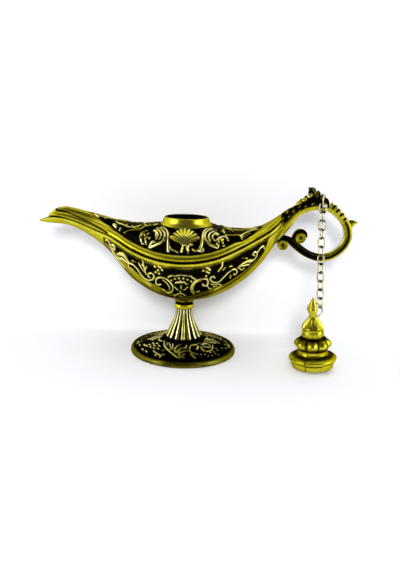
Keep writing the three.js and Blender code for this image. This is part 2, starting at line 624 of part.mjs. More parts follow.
// Pedestal profile from the foot's rim in to the stem and up, then down the hollow underside. The
// third value is how far the flutes cut in, as a share of the radius.
function pedestal() {
  const dome = footDomeHeight - footRimHeight;
  const rise = pedestalHeight - footDomeHeight;
  const flare = stemFootRadius - stemTopRadius;
  const innerRim = footRadius - footRimWidth;
  const outside = [
    [footRadius - footRimHeight * 0.2, 0, 0], [footRadius, footRimHeight * 0.3, 0],
    [footRadius - footRimHeight * 0.1, footRimHeight * 0.75, 0], [footRadius - footRimWidth * 0.45, footRimHeight, 0],
    [innerRim, footRimHeight * 0.92, 0], [innerRim * 0.8, footRimHeight + dome * 0.34, 0],
    [innerRim * 0.6, footRimHeight + dome * 0.66, 0], [stemFootRadius * 1.04, footDomeHeight - dome * 0.06, 0],
    [stemFootRadius, footDomeHeight + rise * 0.02, fluteDepthShare],
    [stemTopRadius + flare * 0.86, footDomeHeight + rise * 0.13, fluteDepthShare],
    [stemTopRadius + flare * 0.56, footDomeHeight + rise * 0.38, fluteDepthShare],
    [stemTopRadius + flare * 0.2, footDomeHeight + rise * 0.65, fluteDepthShare],
    [stemTopRadius + flare * 0.07, footDomeHeight + rise * 0.82, fluteDepthShare],
    [stemTopRadius, pedestalHeight, fluteDepthShare / 2],
  ];
  const bore = screwRadius + screwClearance;
  const inside = [
    [bore, pedestalHeight, 0], [bore, screwSeatHeight, 0], [screwWellRadius, screwSeatHeight, 0],
    [screwWellRadius, footRecessHeight + rise * 0.2, 0], [stemFootRadius * 0.75, footRecessHeight, 0],
    [footRadius * 0.7, footRimHeight * 0.8, 0], [footRadius - footRimWidth * 1.2, 0, 0],
  ];
  const around = fluteCount * pointsPerFlute;
  const rings = [...outside, ...inside].map(([r, z, cut]) => {
    const ring = [];
    for (let i = 0; i < around; i++) {
      const turn = (2 * Math.PI * i) / around;
      const flute = 1 - cut * (0.5 - 0.5 * Math.cos(fluteCount * turn));
      ring.push(new THREE.Vector3(r * flute * Math.cos(turn), r * flute * Math.sin(turn), z));
    }
    return ring;
  });
  return geometryOf(solid(loft(rings, true)));
}

// Spool-shaped collar that the bowl's boss seats on.
function collar() {
  const low = pedestalHeight;
  const bore = screwRadius + screwClearance;
  const geometry = turned([
    [bore, low], [collarRadius * 0.86, low], [collarRadius, low + collarHeight * 0.12],
    [collarRadius, low + collarHeight * 0.3], [collarRadius * 0.88, low + collarHeight * 0.42],
    [collarWaistRadius, low + collarHeight * 0.5], [collarWaistRadius, low + collarHeight * 0.78],
    [collarRadius * 0.97, low + collarHeight * 0.86], [collarRadius * 0.97, low + collarHeight],
    [bore, low + collarHeight],
  ], 28);
  return geometryOf(solid(geometry));
}

function washer() {
  const top = screwSeatHeight;
  const bore = screwRadius + screwClearance;
  return geometryOf(solid(turned([[bore, top - washerThickness], [washerRadius, top - washerThickness],
    [washerRadius, top], [bore, top]], 24)));
}

// Slotted screw, driven up through the stem and collar into the bowl's boss.
function pedestalScrew() {
  const seat = screwSeatHeight - washerThickness;
  const under = seat - screwHeadHeight;
  const tip = bowlBottom + threadDepth - fitGap;
  const body = solid(turned([[0, under], [screwHeadRadius * 0.8, under], [screwHeadRadius, under + screwHeadHeight * 0.4],
    [screwHeadRadius, seat], [screwRadius, seat], [screwRadius, tip], [0, tip]], 24));
  const slot = box(-screwHeadRadius - cutOverrun, screwHeadRadius + cutOverrun, -screwSlotWidth / 2,
    screwSlotWidth / 2, under - cutOverrun, under + screwSlotDepth);
  return geometryOf(body.subtract(solid(slot)));
}

// An oval cable link standing on end: two straight sides and two half-round ends of round wire.
function linkGeometry() {
  const bend = (linkWidth - linkWire) / 2;
  const reach = (linkLength - linkWidth) / 2;
  const rings = [];
  [1, -1].forEach((end) => {
    for (let i = 0; i <= linkEndSteps; i++) {
      const turn = (Math.PI * i) / linkEndSteps + (end > 0 ? 0 : Math.PI);
      const out = new THREE.Vector3(Math.cos(turn), 0, Math.sin(turn));
      const centre = out.clone().multiplyScalar(bend).add(new THREE.Vector3(0, 0, end * reach));
      const ring = [];
      for (let j = 0; j < wireSides; j++) {
        const roll = (2 * Math.PI * j) / wireSides;
        const p = centre.clone().addScaledVector(out, (linkWire / 2) * Math.cos(roll));
        ring.push(p.setY((linkWire / 2) * Math.sin(roll)));
      }
      rings.push(ring);
    }
  });
  return geometryOf(solid(loft(rings, true)));
}

// Where the two end rings lie, and the run of hinge points between them. The chain sags as a
// shallow arc whose length is a whole number of link pitches.
const ringYaw = THREE.MathUtils.degToRad(ringYawDegrees);
const topHookTurn = THREE.MathUtils.degToRad(topHookTurnDegrees);
const linkTwist = THREE.MathUtils.degToRad(linkTwistDegrees);
const lidRingTilt = THREE.MathUtils.degToRad(lidRingTiltDegrees);
const lidHookTurn = THREE.MathUtils.degToRad(lidHookTurnDegrees);
const linkPitch = linkLength - 2 * linkWire - linkPlay;
const ringOut = new THREE.Vector3(-Math.sin(ringYaw), -Math.cos(ringYaw), 0);
const topRingShift = topRingRadius * 0.38;
const topRingCentre = new THREE.Vector3(eyeletX, 0, (eyeletRoof + webTop) / 2).addScaledVector(ringOut, topRingShift);
const topHook = topRingCentre.clone().addScaledVector(ringOut, topRingRadius * Math.sin(topHookTurn));
topHook.z -= topRingRadius * Math.cos(topHookTurn);
const lidRingUp = new THREE.Vector3(0, Math.cos(lidRingTilt), Math.sin(lidRingTilt));
const hookFromEye = lidRingUp.clone()
  .multiplyScalar(lidRingRadius - lidRingSeat + lidRingRadius * Math.cos(lidHookTurn));
hookFromEye.x += lidRingRadius * Math.sin(lidHookTurn);

// The links come in pairs, as many as the drop from ring to ring needs.
const chainDrop = topHook.z - lidNeckHeight - hookFromEye.z;
const linkCount = 2 * Math.ceil(chainDrop / (2 * linkPitch));
const hookDistance = linkCount * linkPitch * chainTautShare;
const lidX = topHook.x - hookFromEye.x;
const lidY = topHook.y - hookFromEye.y - Math.sqrt(hookDistance ** 2 - chainDrop ** 2);
const lidEye = new THREE.Vector3(lidX, lidY, lidNeckHeight);
const lidHook = lidEye.clone().add(hookFromEye);
const lidRingCentre = lidEye.clone().addScaledVector(lidRingUp, lidRingRadius - lidRingSeat);

function chainPoints() {
  const down = lidHook.clone().sub(topHook).normalize();
  const start = topHook.clone().addScaledVector(down, -topRingSlack);
  const end = lidHook.clone().addScaledVector(down, (linkWire + ringWire) / 2 + lidRingSlack);
  const chord = end.clone().sub(start);
  const span = chord.length();
  const stretch = (linkCount * linkPitch) / span;
  let half = 0.5;
  for (let i = 0; i < 60; i++) {
    const error = half / Math.sin(half) - stretch;
    half = Math.max(1e-4, half - error / (half / 3 + 1e-6));
  }
  const along = chord.clone().normalize();
  const sag = new THREE.Vector3(0, 0, -1).addScaledVector(along, along.z).normalize();
  const radius = span / (2 * Math.sin(half));
  const step = 2 * Math.asin(linkPitch / (2 * radius));
  const points = [];
  for (let i = 0; i <= linkCount; i++) {
    const turn = -half + i * step;
    const run = span / 2 + radius * Math.sin(turn);
    const drop = radius * (Math.cos(turn) - Math.cos(half));
    points.push(start.clone().addScaledVector(along, run).addScaledVector(sag, drop));
  }
  return points;
}

// Lid profile upwards from the plug: [radius, height, lobe depth as a share of the radius].
function lidGeometry() {
  const plug = neckBoreRadius - lidPlugPlay;
  const flangeTop = lidPlugHeight + lidFlangeThickness;
  const above = lidHeight - flangeTop;
  const up = (share) => flangeTop + share * above;
  const waist = lidTierRadius * 0.71;
  const profile = [
    [plug * 0.93, 0, 0], [plug, lidPlugHeight * 0.3, 0], [plug, lidPlugHeight, 0],
    [lidFlangeRadius * 0.97, lidPlugHeight + lidFlangeThickness * 0.1, 0],
    [lidFlangeRadius, lidPlugHeight + lidFlangeThickness * 0.5, 0], [lidFlangeRadius * 0.93, up(0), 0],
    [waist * 1.12, up(0.035), 0], [waist, up(0.07), 0], [waist * 1.02, up(0.115), 0],
    [lidTierRadius * 0.86, up(0.16), 0.05], [lidTierRadius, up(0.235), 0.13], [lidTierRadius * 0.9, up(0.315), 0.13],
    [lidConeRadius * 0.95, up(0.36), 0.04], [lidConeRadius * 0.9, up(0.4), 0.02], [lidConeRadius, up(0.425), 0.05],
    [lidConeRadius * 0.86, up(0.49), 0.12], [lidConeRadius * 0.55, up(0.6), 0.14],
    [lidNeckRadius, lidNeckHeight - lidEyeRadius, 0.04], [lidNeckRadius, lidNeckHeight + lidEyeRadius, 0],
    [lidBudRadius, lidNeckHeight + 2.6 * lidEyeRadius, 0.06], [lidBudRadius * 0.72, lidHeight * 0.915, 0.1],
    [lidBudRadius * 0.1, lidHeight, 0],
  ];
  const around = lidLobes * pointsPerLobe;
  const rings = profile.map(([r, z, cut]) => {
    const ring = [];
    for (let i = 0; i < around; i++) {
      const turn = (2 * Math.PI * i) / around;
      const lobe = 1 - cut * (0.5 - 0.5 * Math.cos(lidLobes * turn));
      ring.push(new THREE.Vector3(r * lobe * Math.cos(turn), r * lobe * Math.sin(turn), z));
    }
    return ring;
  });
  let body = solid(loft(rings));
  body = body.subtract(solid(post(plug - lidPlugWall, -cutOverrun, lidRecessHeight, 24)));
  body = body.subtract(solid(post(lidWellRadius, 0, lidWellHeight, 20)));
  const eye = post(lidEyeRadius, -lidNeckRadius - cutOverrun, lidNeckRadius + cutOverrun, 10).rotateY(Math.PI / 2);
  return geometryOf(body.subtract(solid(eye.translate(0, 0, lidNeckHeight))));
}

function agedBrass() {
  return new THREE.MeshStandardMaterial({ color: 0x8a8412, roughness: 0.32, metalness: 1 });
}

function darkBrass() {
  return new THREE.MeshStandardMaterial({ color: 0x3c3a10, roughness: 0.5, metalness: 1 });
}

function paleChain() {
  return new THREE.MeshStandardMaterial({ color: 0xb9b48a, roughness: 0.3, metalness: 1 });
}

function plainSteel() {
  return new THREE.MeshStandardMaterial({ color: 0x9a9a9a, roughness: 0.35, metalness: 1 });
}

function piece(name, geometry, material) {
  const mesh = new THREE.Mesh(geometry, material);
  mesh.name = name;
  return mesh;
}

// Stands a ring up with its own plane spanned by two directions.
function ringPiece(name, radius, centre, first, second) {
  const ring = piece(name, new THREE.TorusGeometry(radius, ringWire / 2, 8, 28), paleChain());
  ring.position.copy(centre);
  const normal = first.clone().cross(second);
  ring.quaternion.setFromRotationMatrix(new THREE.Matrix4().makeBasis(first, second, normal));
  return ring;
}

function chainRing() {
  return ringPiece('chain_ring', topRingRadius, topRingCentre, ringOut, new THREE.Vector3(0, 0, 1));
}

function lidRing() {
  return ringPiece('lid_ring', lidRingRadius, lidRingCentre, new THREE.Vector3(1, 0, 0), lidRingUp);
}

function lid() {
  const mesh = piece('lid', lidGeometry(), agedBrass());
  mesh.position.set(lidX, lidY, 0);
  return mesh;
}

// Lays each link between two hinge points, turned a quarter from the last with a slow twist.
function chain() {
  const points = chainPoints();
  const geometry = linkGeometry();
  const links = new THREE.Group();
  for (let i = 0; i + 1 < points.length; i++) {
    const up = points[i].clone().sub(points[i + 1]).normalize();
    const yaw = (i * Math.PI) / 2 + linkTwist * Math.min(i, fullTwistShare);
    const side = new THREE.Vector3(Math.cos(yaw), Math.sin(yaw), 0);
    side.addScaledVector(up, -side.dot(up)).normalize();
    const link = piece(`link_${String(i + 1).padStart(2, '0')}`, geometry, paleChain());
    const facing = up.clone().cross(side);
    link.quaternion.setFromRotationMatrix(new THREE.Matrix4().makeBasis(side, facing, up));
    link.position.copy(points[i + 1]).addScaledVector(up, (linkLength - linkWire) / 2);
    links.add(link);
  }
  return links;
}

const lamp = new THREE.Group();
lamp.add(piece('lower_shell', lowerShell(), agedBrass()));
lamp.add(piece('upper_shell', upperShell(), agedBrass()));
lamp.add(piece('handle', handle(), agedBrass()));
lamp.add(piece('collar', collar(), agedBrass()));
lamp.add(piece('pedestal', pedestal(), darkBrass()));
lamp.add(piece('screw_washer', washer(), plainSteel()));
lamp.add(piece('pedestal_screw', pedestalScrew(), plainSteel()));
lamp.add(chainRing(), chain(), lidRing(), lid());

// The origin is the middle of the lamp's floor box, from spout tip to handle tip and foot to lid.
const backReach = footRadius;
const frontReach = lidFlangeRadius - lidY;
lamp.position.set((spoutReach - handleReach) / 2, (frontReach - backReach) / 2, 0);

export default lamp;
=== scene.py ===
import logging
import math
from collections.abc import Callable
from dataclasses import dataclass, field
from enum import Enum, IntEnum

import bpy
import numpy as np
from mathutils import Matrix, Vector


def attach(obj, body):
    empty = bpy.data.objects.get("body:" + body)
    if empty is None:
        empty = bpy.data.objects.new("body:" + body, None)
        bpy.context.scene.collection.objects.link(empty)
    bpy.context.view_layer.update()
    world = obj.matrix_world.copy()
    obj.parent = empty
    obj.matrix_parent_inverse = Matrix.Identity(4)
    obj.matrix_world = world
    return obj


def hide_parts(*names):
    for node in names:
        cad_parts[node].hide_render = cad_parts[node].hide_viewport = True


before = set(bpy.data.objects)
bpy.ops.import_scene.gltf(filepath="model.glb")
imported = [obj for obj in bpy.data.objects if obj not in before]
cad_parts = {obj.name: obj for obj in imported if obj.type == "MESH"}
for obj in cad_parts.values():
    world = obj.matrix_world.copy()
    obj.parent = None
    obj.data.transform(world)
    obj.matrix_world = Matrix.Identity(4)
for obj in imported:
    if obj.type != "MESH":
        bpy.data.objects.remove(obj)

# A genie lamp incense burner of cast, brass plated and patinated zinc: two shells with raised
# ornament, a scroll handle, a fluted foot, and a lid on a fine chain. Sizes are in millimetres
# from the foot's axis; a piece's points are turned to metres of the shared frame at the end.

MM = 0.001
# Points closer than this, in metres, are one, and a part is never thinner than this, in millimetres.
MERGE_DISTANCE = 2e-6
THINNEST = 0.05
ROUNDING_STEPS = 4
CREASE_DEGREES = 35.0
# Polish, from 0 to 1: rubbed plain brass, and the casting's inside, kept black as painted shade in the
# hollows.
PLAIN_POLISH = 0.66
INSIDE_SHADE_POLISH = 0.02
# Where the painted shade along the spout's tight seam widens into the bowl's, along the lamp.
SPOUT_BLEND = (-44.0, -24.0)
# From the foot's axis to the middle of the whole lamp's floor box.
ORIGIN_SHIFT = np.array((-5.9, 1.7864738, 0.0))
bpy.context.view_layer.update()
LOG = logging.getLogger("lamp")

# The fan at the dome's front: where its ribs start, their tips as (along, up), and how far the plate and
# the ribs reach towards a tip.
FAN_FOOT = (-0.2, 59.9)
FAN_TIPS = ((-6.2, 63.1), (-4.9, 64.4), (-3.6, 65.4), (-2.1, 66.1), (-0.2, 66.4), (1.8, 66.1), (3.4, 65.5),
            (4.9, 64.4), (6.2, 63.2))
FAN_PLATE_SHARES = (0.8, 0.8)
FAN_RIB_SHARES = (0.42, 0.52)

# Ornament lines on the front surface, in groups of one style. A group is its style (width at each end and
# share of the full rise), then its lines, each a run of x, y, x, y and so on. A group of beads is (width,
# share), then x, y for each bead. Places on the dome and belly are (along, up), on the foot (along, across).
DOME_LINES: tuple[tuple, ...] = (
    ((0.9, 0.7, 1), (-0.2, 62, -0.3, 60.6, -0.6, 59.7)),
    ((0.7, 1.0, 1), (-0.6, 60, -1, 58.6, -1.4, 56.9), (0.6, 60.4, 1.8, 59.8, 1.3, 58.6, 1.7, 57.5)),
    ((0.5, 0.8, 1), (0.9, 59.8, 2.4, 60.3, 3.5, 60.3)),
    ((0.7, 1.5, 1), (-12, 66.3, -9.9, 66, -8.5, 64.9, -8, 62.9, -7.8, 60.7, -7.7, 58.7, -7.7, 56.5)),
    ((0.7, 0.9, 0.9), (-6.9, 58.9, -5.8, 57.7, -4, 57.2, -3.2, 56.4), (6.8, 58.3, 5.3, 57.6, 4, 58.2)),
    ((0.6, 1.4, 1), (-14.2, 65.8, -11.9, 65.8, -10.3, 64.9, -9.6, 63.6, -10.1, 61.7, -11.6, 60.2, -13.7,
     59.1, -15.6, 58.2, -16.8, 57.3)),
    ((0.8, 0.8, 1), (-13.6, 65.4, -12, 64.7, -11.4, 63.4, -12, 61.8), (13.6, 65.4, 11.7, 64.8, 11.3, 63.4,
     12, 62)),
    ((1.2, 0.8, 1), (-15.2, 65, -13.7, 64.3, -13, 63.2, -13.6, 61.9)),
    ((1.0, 1.3, 1), (-14.2, 60.4, -15.4, 60.4, -16.2, 59.2, -16.8, 57.4)),
    ((0.5, 0.5, 0.7), (-21.6, 62.7, -21.2, 63.8, -19.9, 64.4, -18.3, 64.6)),
    ((0.9, 0.9, 0.9), (-19.1, 61.5, -18.1, 62.2), (17.1, 62.1, 18.1, 62.6)),
    ((0.5, 0.5, 0.6), (-29.8, 63.2, -27.8, 64.3, -25, 64.6, -22.2, 64.7)),
    ((0.6, 0.6, 0.7), (-35, 67.6, -31.8, 66.5, -29.2, 66, -25.2, 65.3, -22, 65.2, -20.1, 66, -17.4, 66.3,
     -14.9, 66.6), (-50, 71.5, -47.9, 72, -45, 70.2, -42.1, 69.4, -38.4, 68.6, -34.6, 67.9, -30.2, 67),
     (17.5, 65.1, 19.5, 65.6, 21.7, 65.4, 24.3, 64.7, 26.4, 64.5, 29.5, 64.9, 32.6, 66.4, 35.4, 66.9)),
    ((1.5, 1.0, 1), (-35.4, 66.54, -34.1, 65.36)),
    ((1.5, 1.5, 1), (-45.9, 70.44, -44, 69.47)),
    ((0.9, 0.8, 0.7), (-49.5, 71.26, -46.6, 70.83, -43.6, 69.97, -39.8, 68.99, -36.9, 68.31)),
    ((1.0, 0.8, 0.8), (-34.2, 67.16, -31.3, 66.64, -28.9, 65.77, -25.6, 65.58, -22.3, 66.12)),
    ((1.2, 0.9, 1), (-21.1, 61.02, -20.4, 59.06)),
    ((1.0, 0.9, 1), (-18.7, 60.48, -18.4, 59.21)),
    ((0.9, 0.7, 0.9), (-21.6, 62.18, -20, 63.72)),
    ((1.3, 1.1, 1), (-21.3, 66.3, -19.3, 66.06), (20.4, 65.32, 22.5, 64.9)),
    ((1.2, 1.0, 1), (-15.8, 66.51, -14.1, 66.8), (18.4, 63.46, 19.8, 63.19, 20.4, 62.21)),
    ((1.4, 1.0, 1), (-14.7, 65.09, -14.1, 64.62, -13.8, 63.19)),
    ((0.7, 1.4, 1), (13.1, 66.3, 10, 66.3, 8.7, 65.2, 8.3, 63.2, 8, 60.6, 7.3, 58.5, 6.8, 57.7)),
    ((0.9, 0.8, 1), (6.9, 57.8, 7.8, 57.1, 8.8, 57.7, 8.9, 58.7)),
    ((0.6, 1.3, 1), (15, 65.6, 12.4, 66, 10.4, 65.6, 9.5, 64.2, 9.9, 62.4, 11.4, 60.9, 13.5, 59.9, 15.4,
     59.1)),
    ((0.7, 0.7, 0.9), (14.1, 64.7, 13.1, 64, 13.3, 63, 14, 62.2)),
    ((1.6, 1.2, 1), (14.6, 65, 15.8, 64.5)),
    ((0.7, 1.2, 1), (15, 60.9, 15.9, 60.1, 15.4, 58.8)),
    ((2.0, 0.5, 1), (26.9, 63.6, 29.3, 64.33, 32.1, 64.95, 34.7, 65.65, 36.3, 65.97)),
    ((1.2, 0.7, 1), (26.9, 63.6, 27.4, 62.6)),
    ((1.1, 1.1, 1), (18.3, 65.58, 18.8, 64.7)),
    ((0.6, 0.6, 0.6), (19.4, 64.15, 22.8, 63.85, 26.4, 63.93)),
    ((1.1, 1.1, 0.9), (32.4, 65.09, 34.2, 65.56, 35.4, 65.94)),
    ((1.0, 1.0, 0.9), (15.1, 62.13, 16.8, 63.42, 18.6, 63.62)),
)
DOME_BEADS: tuple[tuple, ...] = (
    ((0.8, 0.9), 1.8, 56.4),
    ((0.6, 0.8), -9.6, 61.4),
    ((1.3, 0.9), -19.3, 62.9, -21.1, 61.1, -20, 59.2, -18.5, 59.8, -16.9, 61.8, -17.8, 63.5, -20.8, 62.7,
     16.9, 62.9, 18.8, 63.5, 20.1, 62.6, 17.9, 61.2, 18.4, 59.8, 15.9, 61.6, 19.6, 63.8),
    ((1.0, 0.9), -34.5, 66.3, -31.8, 65, -33.9, 67.6, -29.4, 66.5, -26.5, 66, -25.1, 66.5, -22.9, 66, -20.6,
     66.4, -18.6, 66.5, -16.1, 67.4, -23.4, 65.6, -28.2, 66.8, 28.5, 63.42, 29.8, 63.88, 18.5, 65.5, 20,
     65.7, 22, 65, 23.8, 65, 25.1, 64.7, 27.8, 64.8, 29.6, 65.7, 32.2, 66.6, 34.1, 66.8, 35.8, 66.6, 26.6,
     65.1, 31.2, 65.8),
    ((1.1, 0.9), -48.6, 71.9, -44.8, 69.9, -42.1, 70.5, -39.7, 69.4, -40.5, 68.8, -33.1, 66.7, -31.9, 65,
     -34, 68, -29.3, 66.4, -28.7, 66.9, 23.2, 64.73),
    ((1.2, 1), -43.3, 69.87, -40.1, 69.05),
    ((1.1, 1), -32.1, 64.35),
    ((1.3, 1), -18.1, 66.31),
    ((0.9, 0.9), 31.1, 64.35),
    ((2.2, 1), 15.1, 64.35),
)
BELLY_LINES: tuple[tuple, ...] = (
    ((1.0, 0.7, 1), (-27.1, 49.1, -24.7, 48.5, -22.8, 46.7, -21.2, 44.5, -19.4, 42.3, -17.1, 41.5, -15.1,
     42.2, -14.3, 43.8, -14.8, 45.3, -15.9, 45.6, -17, 44.9, -17.2, 43.6, -16.3, 43.2)),
    ((0.8, 0.7, 0.9), (-27.1, 49, -27.4, 47.5, -26.6, 46.4, -25.1, 46)),
    ((0.9, 0.8, 1), (-33.3, 52.5, -30.7, 52.5, -28.7, 51.2, -27.2, 49.6)),
    ((0.8, 0.9, 0.9), (-32.9, 50.6, -30.8, 50.9, -29.1, 49.6, -27.4, 48.9)),
    ((0.7, 0.6, 0.9), (-32.1, 53.6, -30, 53.5, -28.2, 52.3), (-33.3, 53, -30.5, 52.9, -28.1, 51.3, -27.2,
     49.8), (-32.5, 50.1, -30.1, 50.3, -28.3, 49.3)),
    ((0.8, 0.8, 0.9), (-36.6, 56.9, -35, 57.1, -34.3, 56.1, -35.3, 55, -36.2, 55.4)),
    ((0.7, 0.7, 0.9), (-36.5, 54.2, -35.2, 51.9, -33.6, 49.7, -31.6, 47.7, -29.6, 45.8), (-1.5, 37, -1.6,
     33.3)),
    ((0.9, 0.7, 1), (-39.3, 58.7, -38.4, 59.3, -37.4, 58.1, -36.4, 55.2, -35, 51.8, -33, 49.8), (-36.2,
     54.1, -34.4, 54.7, -34.5, 56.2, -35.6, 56.4)),
    ((0.6, 1.1, 1), (-18.2, 44.5, -18.9, 47.4, -19.7, 49.6)),
    ((1.1, 0.6, 1), (-19.7, 49.6, -19.9, 51.5)),
    ((0.5, 0.8, 0.9), (-18.9, 45.6, -20.6, 47.6, -21.8, 49.8)),
    ((0.5, 0.6, 0.9), (-18.5, 47.1, -17.9, 48.7)),
    ((0.7, 0.6, 0.8), (-20.4, 49.1, -19.1, 49), (18.6, 48.6, 19.5, 49.6)),
    ((0.6, 0.6, 0.6), (-25.5, 50.6, -24.5, 50.5)),
    ((1.0, 0.8, 1), (-11.1, 40.2, -12.1, 39.4, -13.2, 40.2, -13.4, 41.8, -12.7, 43.3, -10.9, 44, -8.7, 43.7,
     -6.6, 42.1, -5.2, 39.7, -5.2, 37.2, -6.6, 35.4, -8.3, 35.3), (9.1, 41.4, 9.7, 40.4, 11.1, 40.6, 11.6,
     42.3, 11, 44, 9.4, 44.4, 7, 43.9, 5.1, 42.7, 3.8, 40.3, 3.7, 37.8, 4.7, 35.5)),
    ((0.5, 0.7, 0.8), (-10, 42.8, -8.1, 41.3, -6.8, 39, -6.8, 36.6), (8.1, 43.4, 6.1, 42.6, 4.8, 40.7, 4.5,
     38.2, 5.3, 36)),
    ((0.6, 0.6, 0.9), (-14.6, 37.6, -13.7, 39.4), (-4.6, 33.6, -2.9, 35, -1.5, 35.9, -0.1, 35.2, 1.2, 33.9),
     (11.5, 40, 12.8, 37.8)),
    ((1.3, 0.8, 0.9), (-9.8, 36.7, -8.9, 35.8), (6.5, 36.7, 7.6, 37.3)),
    ((0.7, 0.6, 0.7), (-18.6, 40.9, -17.5, 40, -15.9, 39.6), (-18.9, 39.2, -17.3, 38.6, -15.7, 37.7, -15.2,
     39.1), (-19.5, 40.3, -18.3, 40.8)),
    ((0.8, 0.8, 1), (-7.3, 44.6, -5.6, 45.6, -3.6, 45.5, -1.7, 46.2, 0.8, 46, 3, 45.9, 4.3, 44.9, 5.6,
     44.2), (14.7, 44.6, 14, 45.4, 13, 45.1, 12.7, 43.9, 13.5, 42.6, 15.4, 42, 17.2, 42.6, 19.2, 44.7, 21.1,
     46.8, 23, 48.2, 24.5, 48.3, 25.6, 47, 25.2, 45.7, 24.1, 45.5), (31.8, 51.1, 33.9, 52.4, 35.1, 54.1,
     35.1, 55.8, 33.8, 56.2, 32.9, 55.2, 34, 54.4)),
    ((0.7, 0.6, 1), (-3.8, 41.6, -2.9, 42.5, -2.2, 41.8, -1.5, 42.9, -0.7, 41.9, 0.1, 42.9, 1, 41.7, 1.9,
     41.6)),
    ((0.6, 0.8, 0.8), (-1.2, 40.5, -1.2, 38.5)),
    ((0.6, 0.7, 0.8), (-4.2, 39.4, -2.6, 37.6), (2.1, 39.9, 0.2, 37.8)),
    ((0.9, 0.7, 0.7), (22.4, 45.2, 22.4, 43.7)),
    ((0.7, 1.3, 1), (25.8, 48.9, 27.2, 50.4, 29.6, 51.5, 32.4, 52.2)),
    ((0.6, 1.0, 0.9), (26.4, 49.6, 28.5, 49.8, 31.5, 50)),
    ((0.6, 0.9, 0.9), (26.6, 48.6, 27.9, 47.5, 29, 48.4), (16.3, 48, 17.2, 49.4, 18.1, 50.5), (17.2, 49.1,
     18, 50.5, 18, 52.2)),
    ((0.8, 1.1, 1), (35.4, 56.3, 36.7, 58, 38.2, 58.8, 39, 57.4)),
    ((0.6, 0.6, 0.8), (12.8, 41.3, 14.9, 40.7, 17.1, 41, 18.4, 39.5), (13.1, 38.8, 15.1, 37.6, 16.8, 38.8,
     17.7, 40.3)),
    ((0.6, 0.6, 0.7), (14, 39.5, 16, 39.7)),
    ((0.7, 0.7, 0.6), (29.4, 53.6, 30.4, 53.3)),
    ((0.7, 0.6, 0.5), (21.6, 50.1, 23, 50.1)),
)
BELLY_BEADS: tuple[tuple, ...] = (
    ((0.9, 0.8), -26.2, 46.5),
    ((0.8, 0.8), -24.5, 45.1),
    ((0.5, 0.6), -23.5, 50.2),
    ((1.3, 1), -13.7, 49.2, -11.9, 49.6, -10.3, 47.9, -12.2, 47.6, -13.4, 46.5, -11.7, 45.9, -11.1, 49.2,
     10.8, 50, 10.8, 48.1, 9.1, 48.6, 12.2, 48.9, 10.6, 45.8, 11.8, 47.4, 11.6, 49.6),
    ((1.1, 1), -5.8, 43, -4.1, 44, -2.2, 44.4, -0.1, 44.4, 1.9, 43.9, 3.6, 43),
    ((1.0, 0.8), 24, 45.9),
    ((0.8, 0.6), 28, 53.8),
)
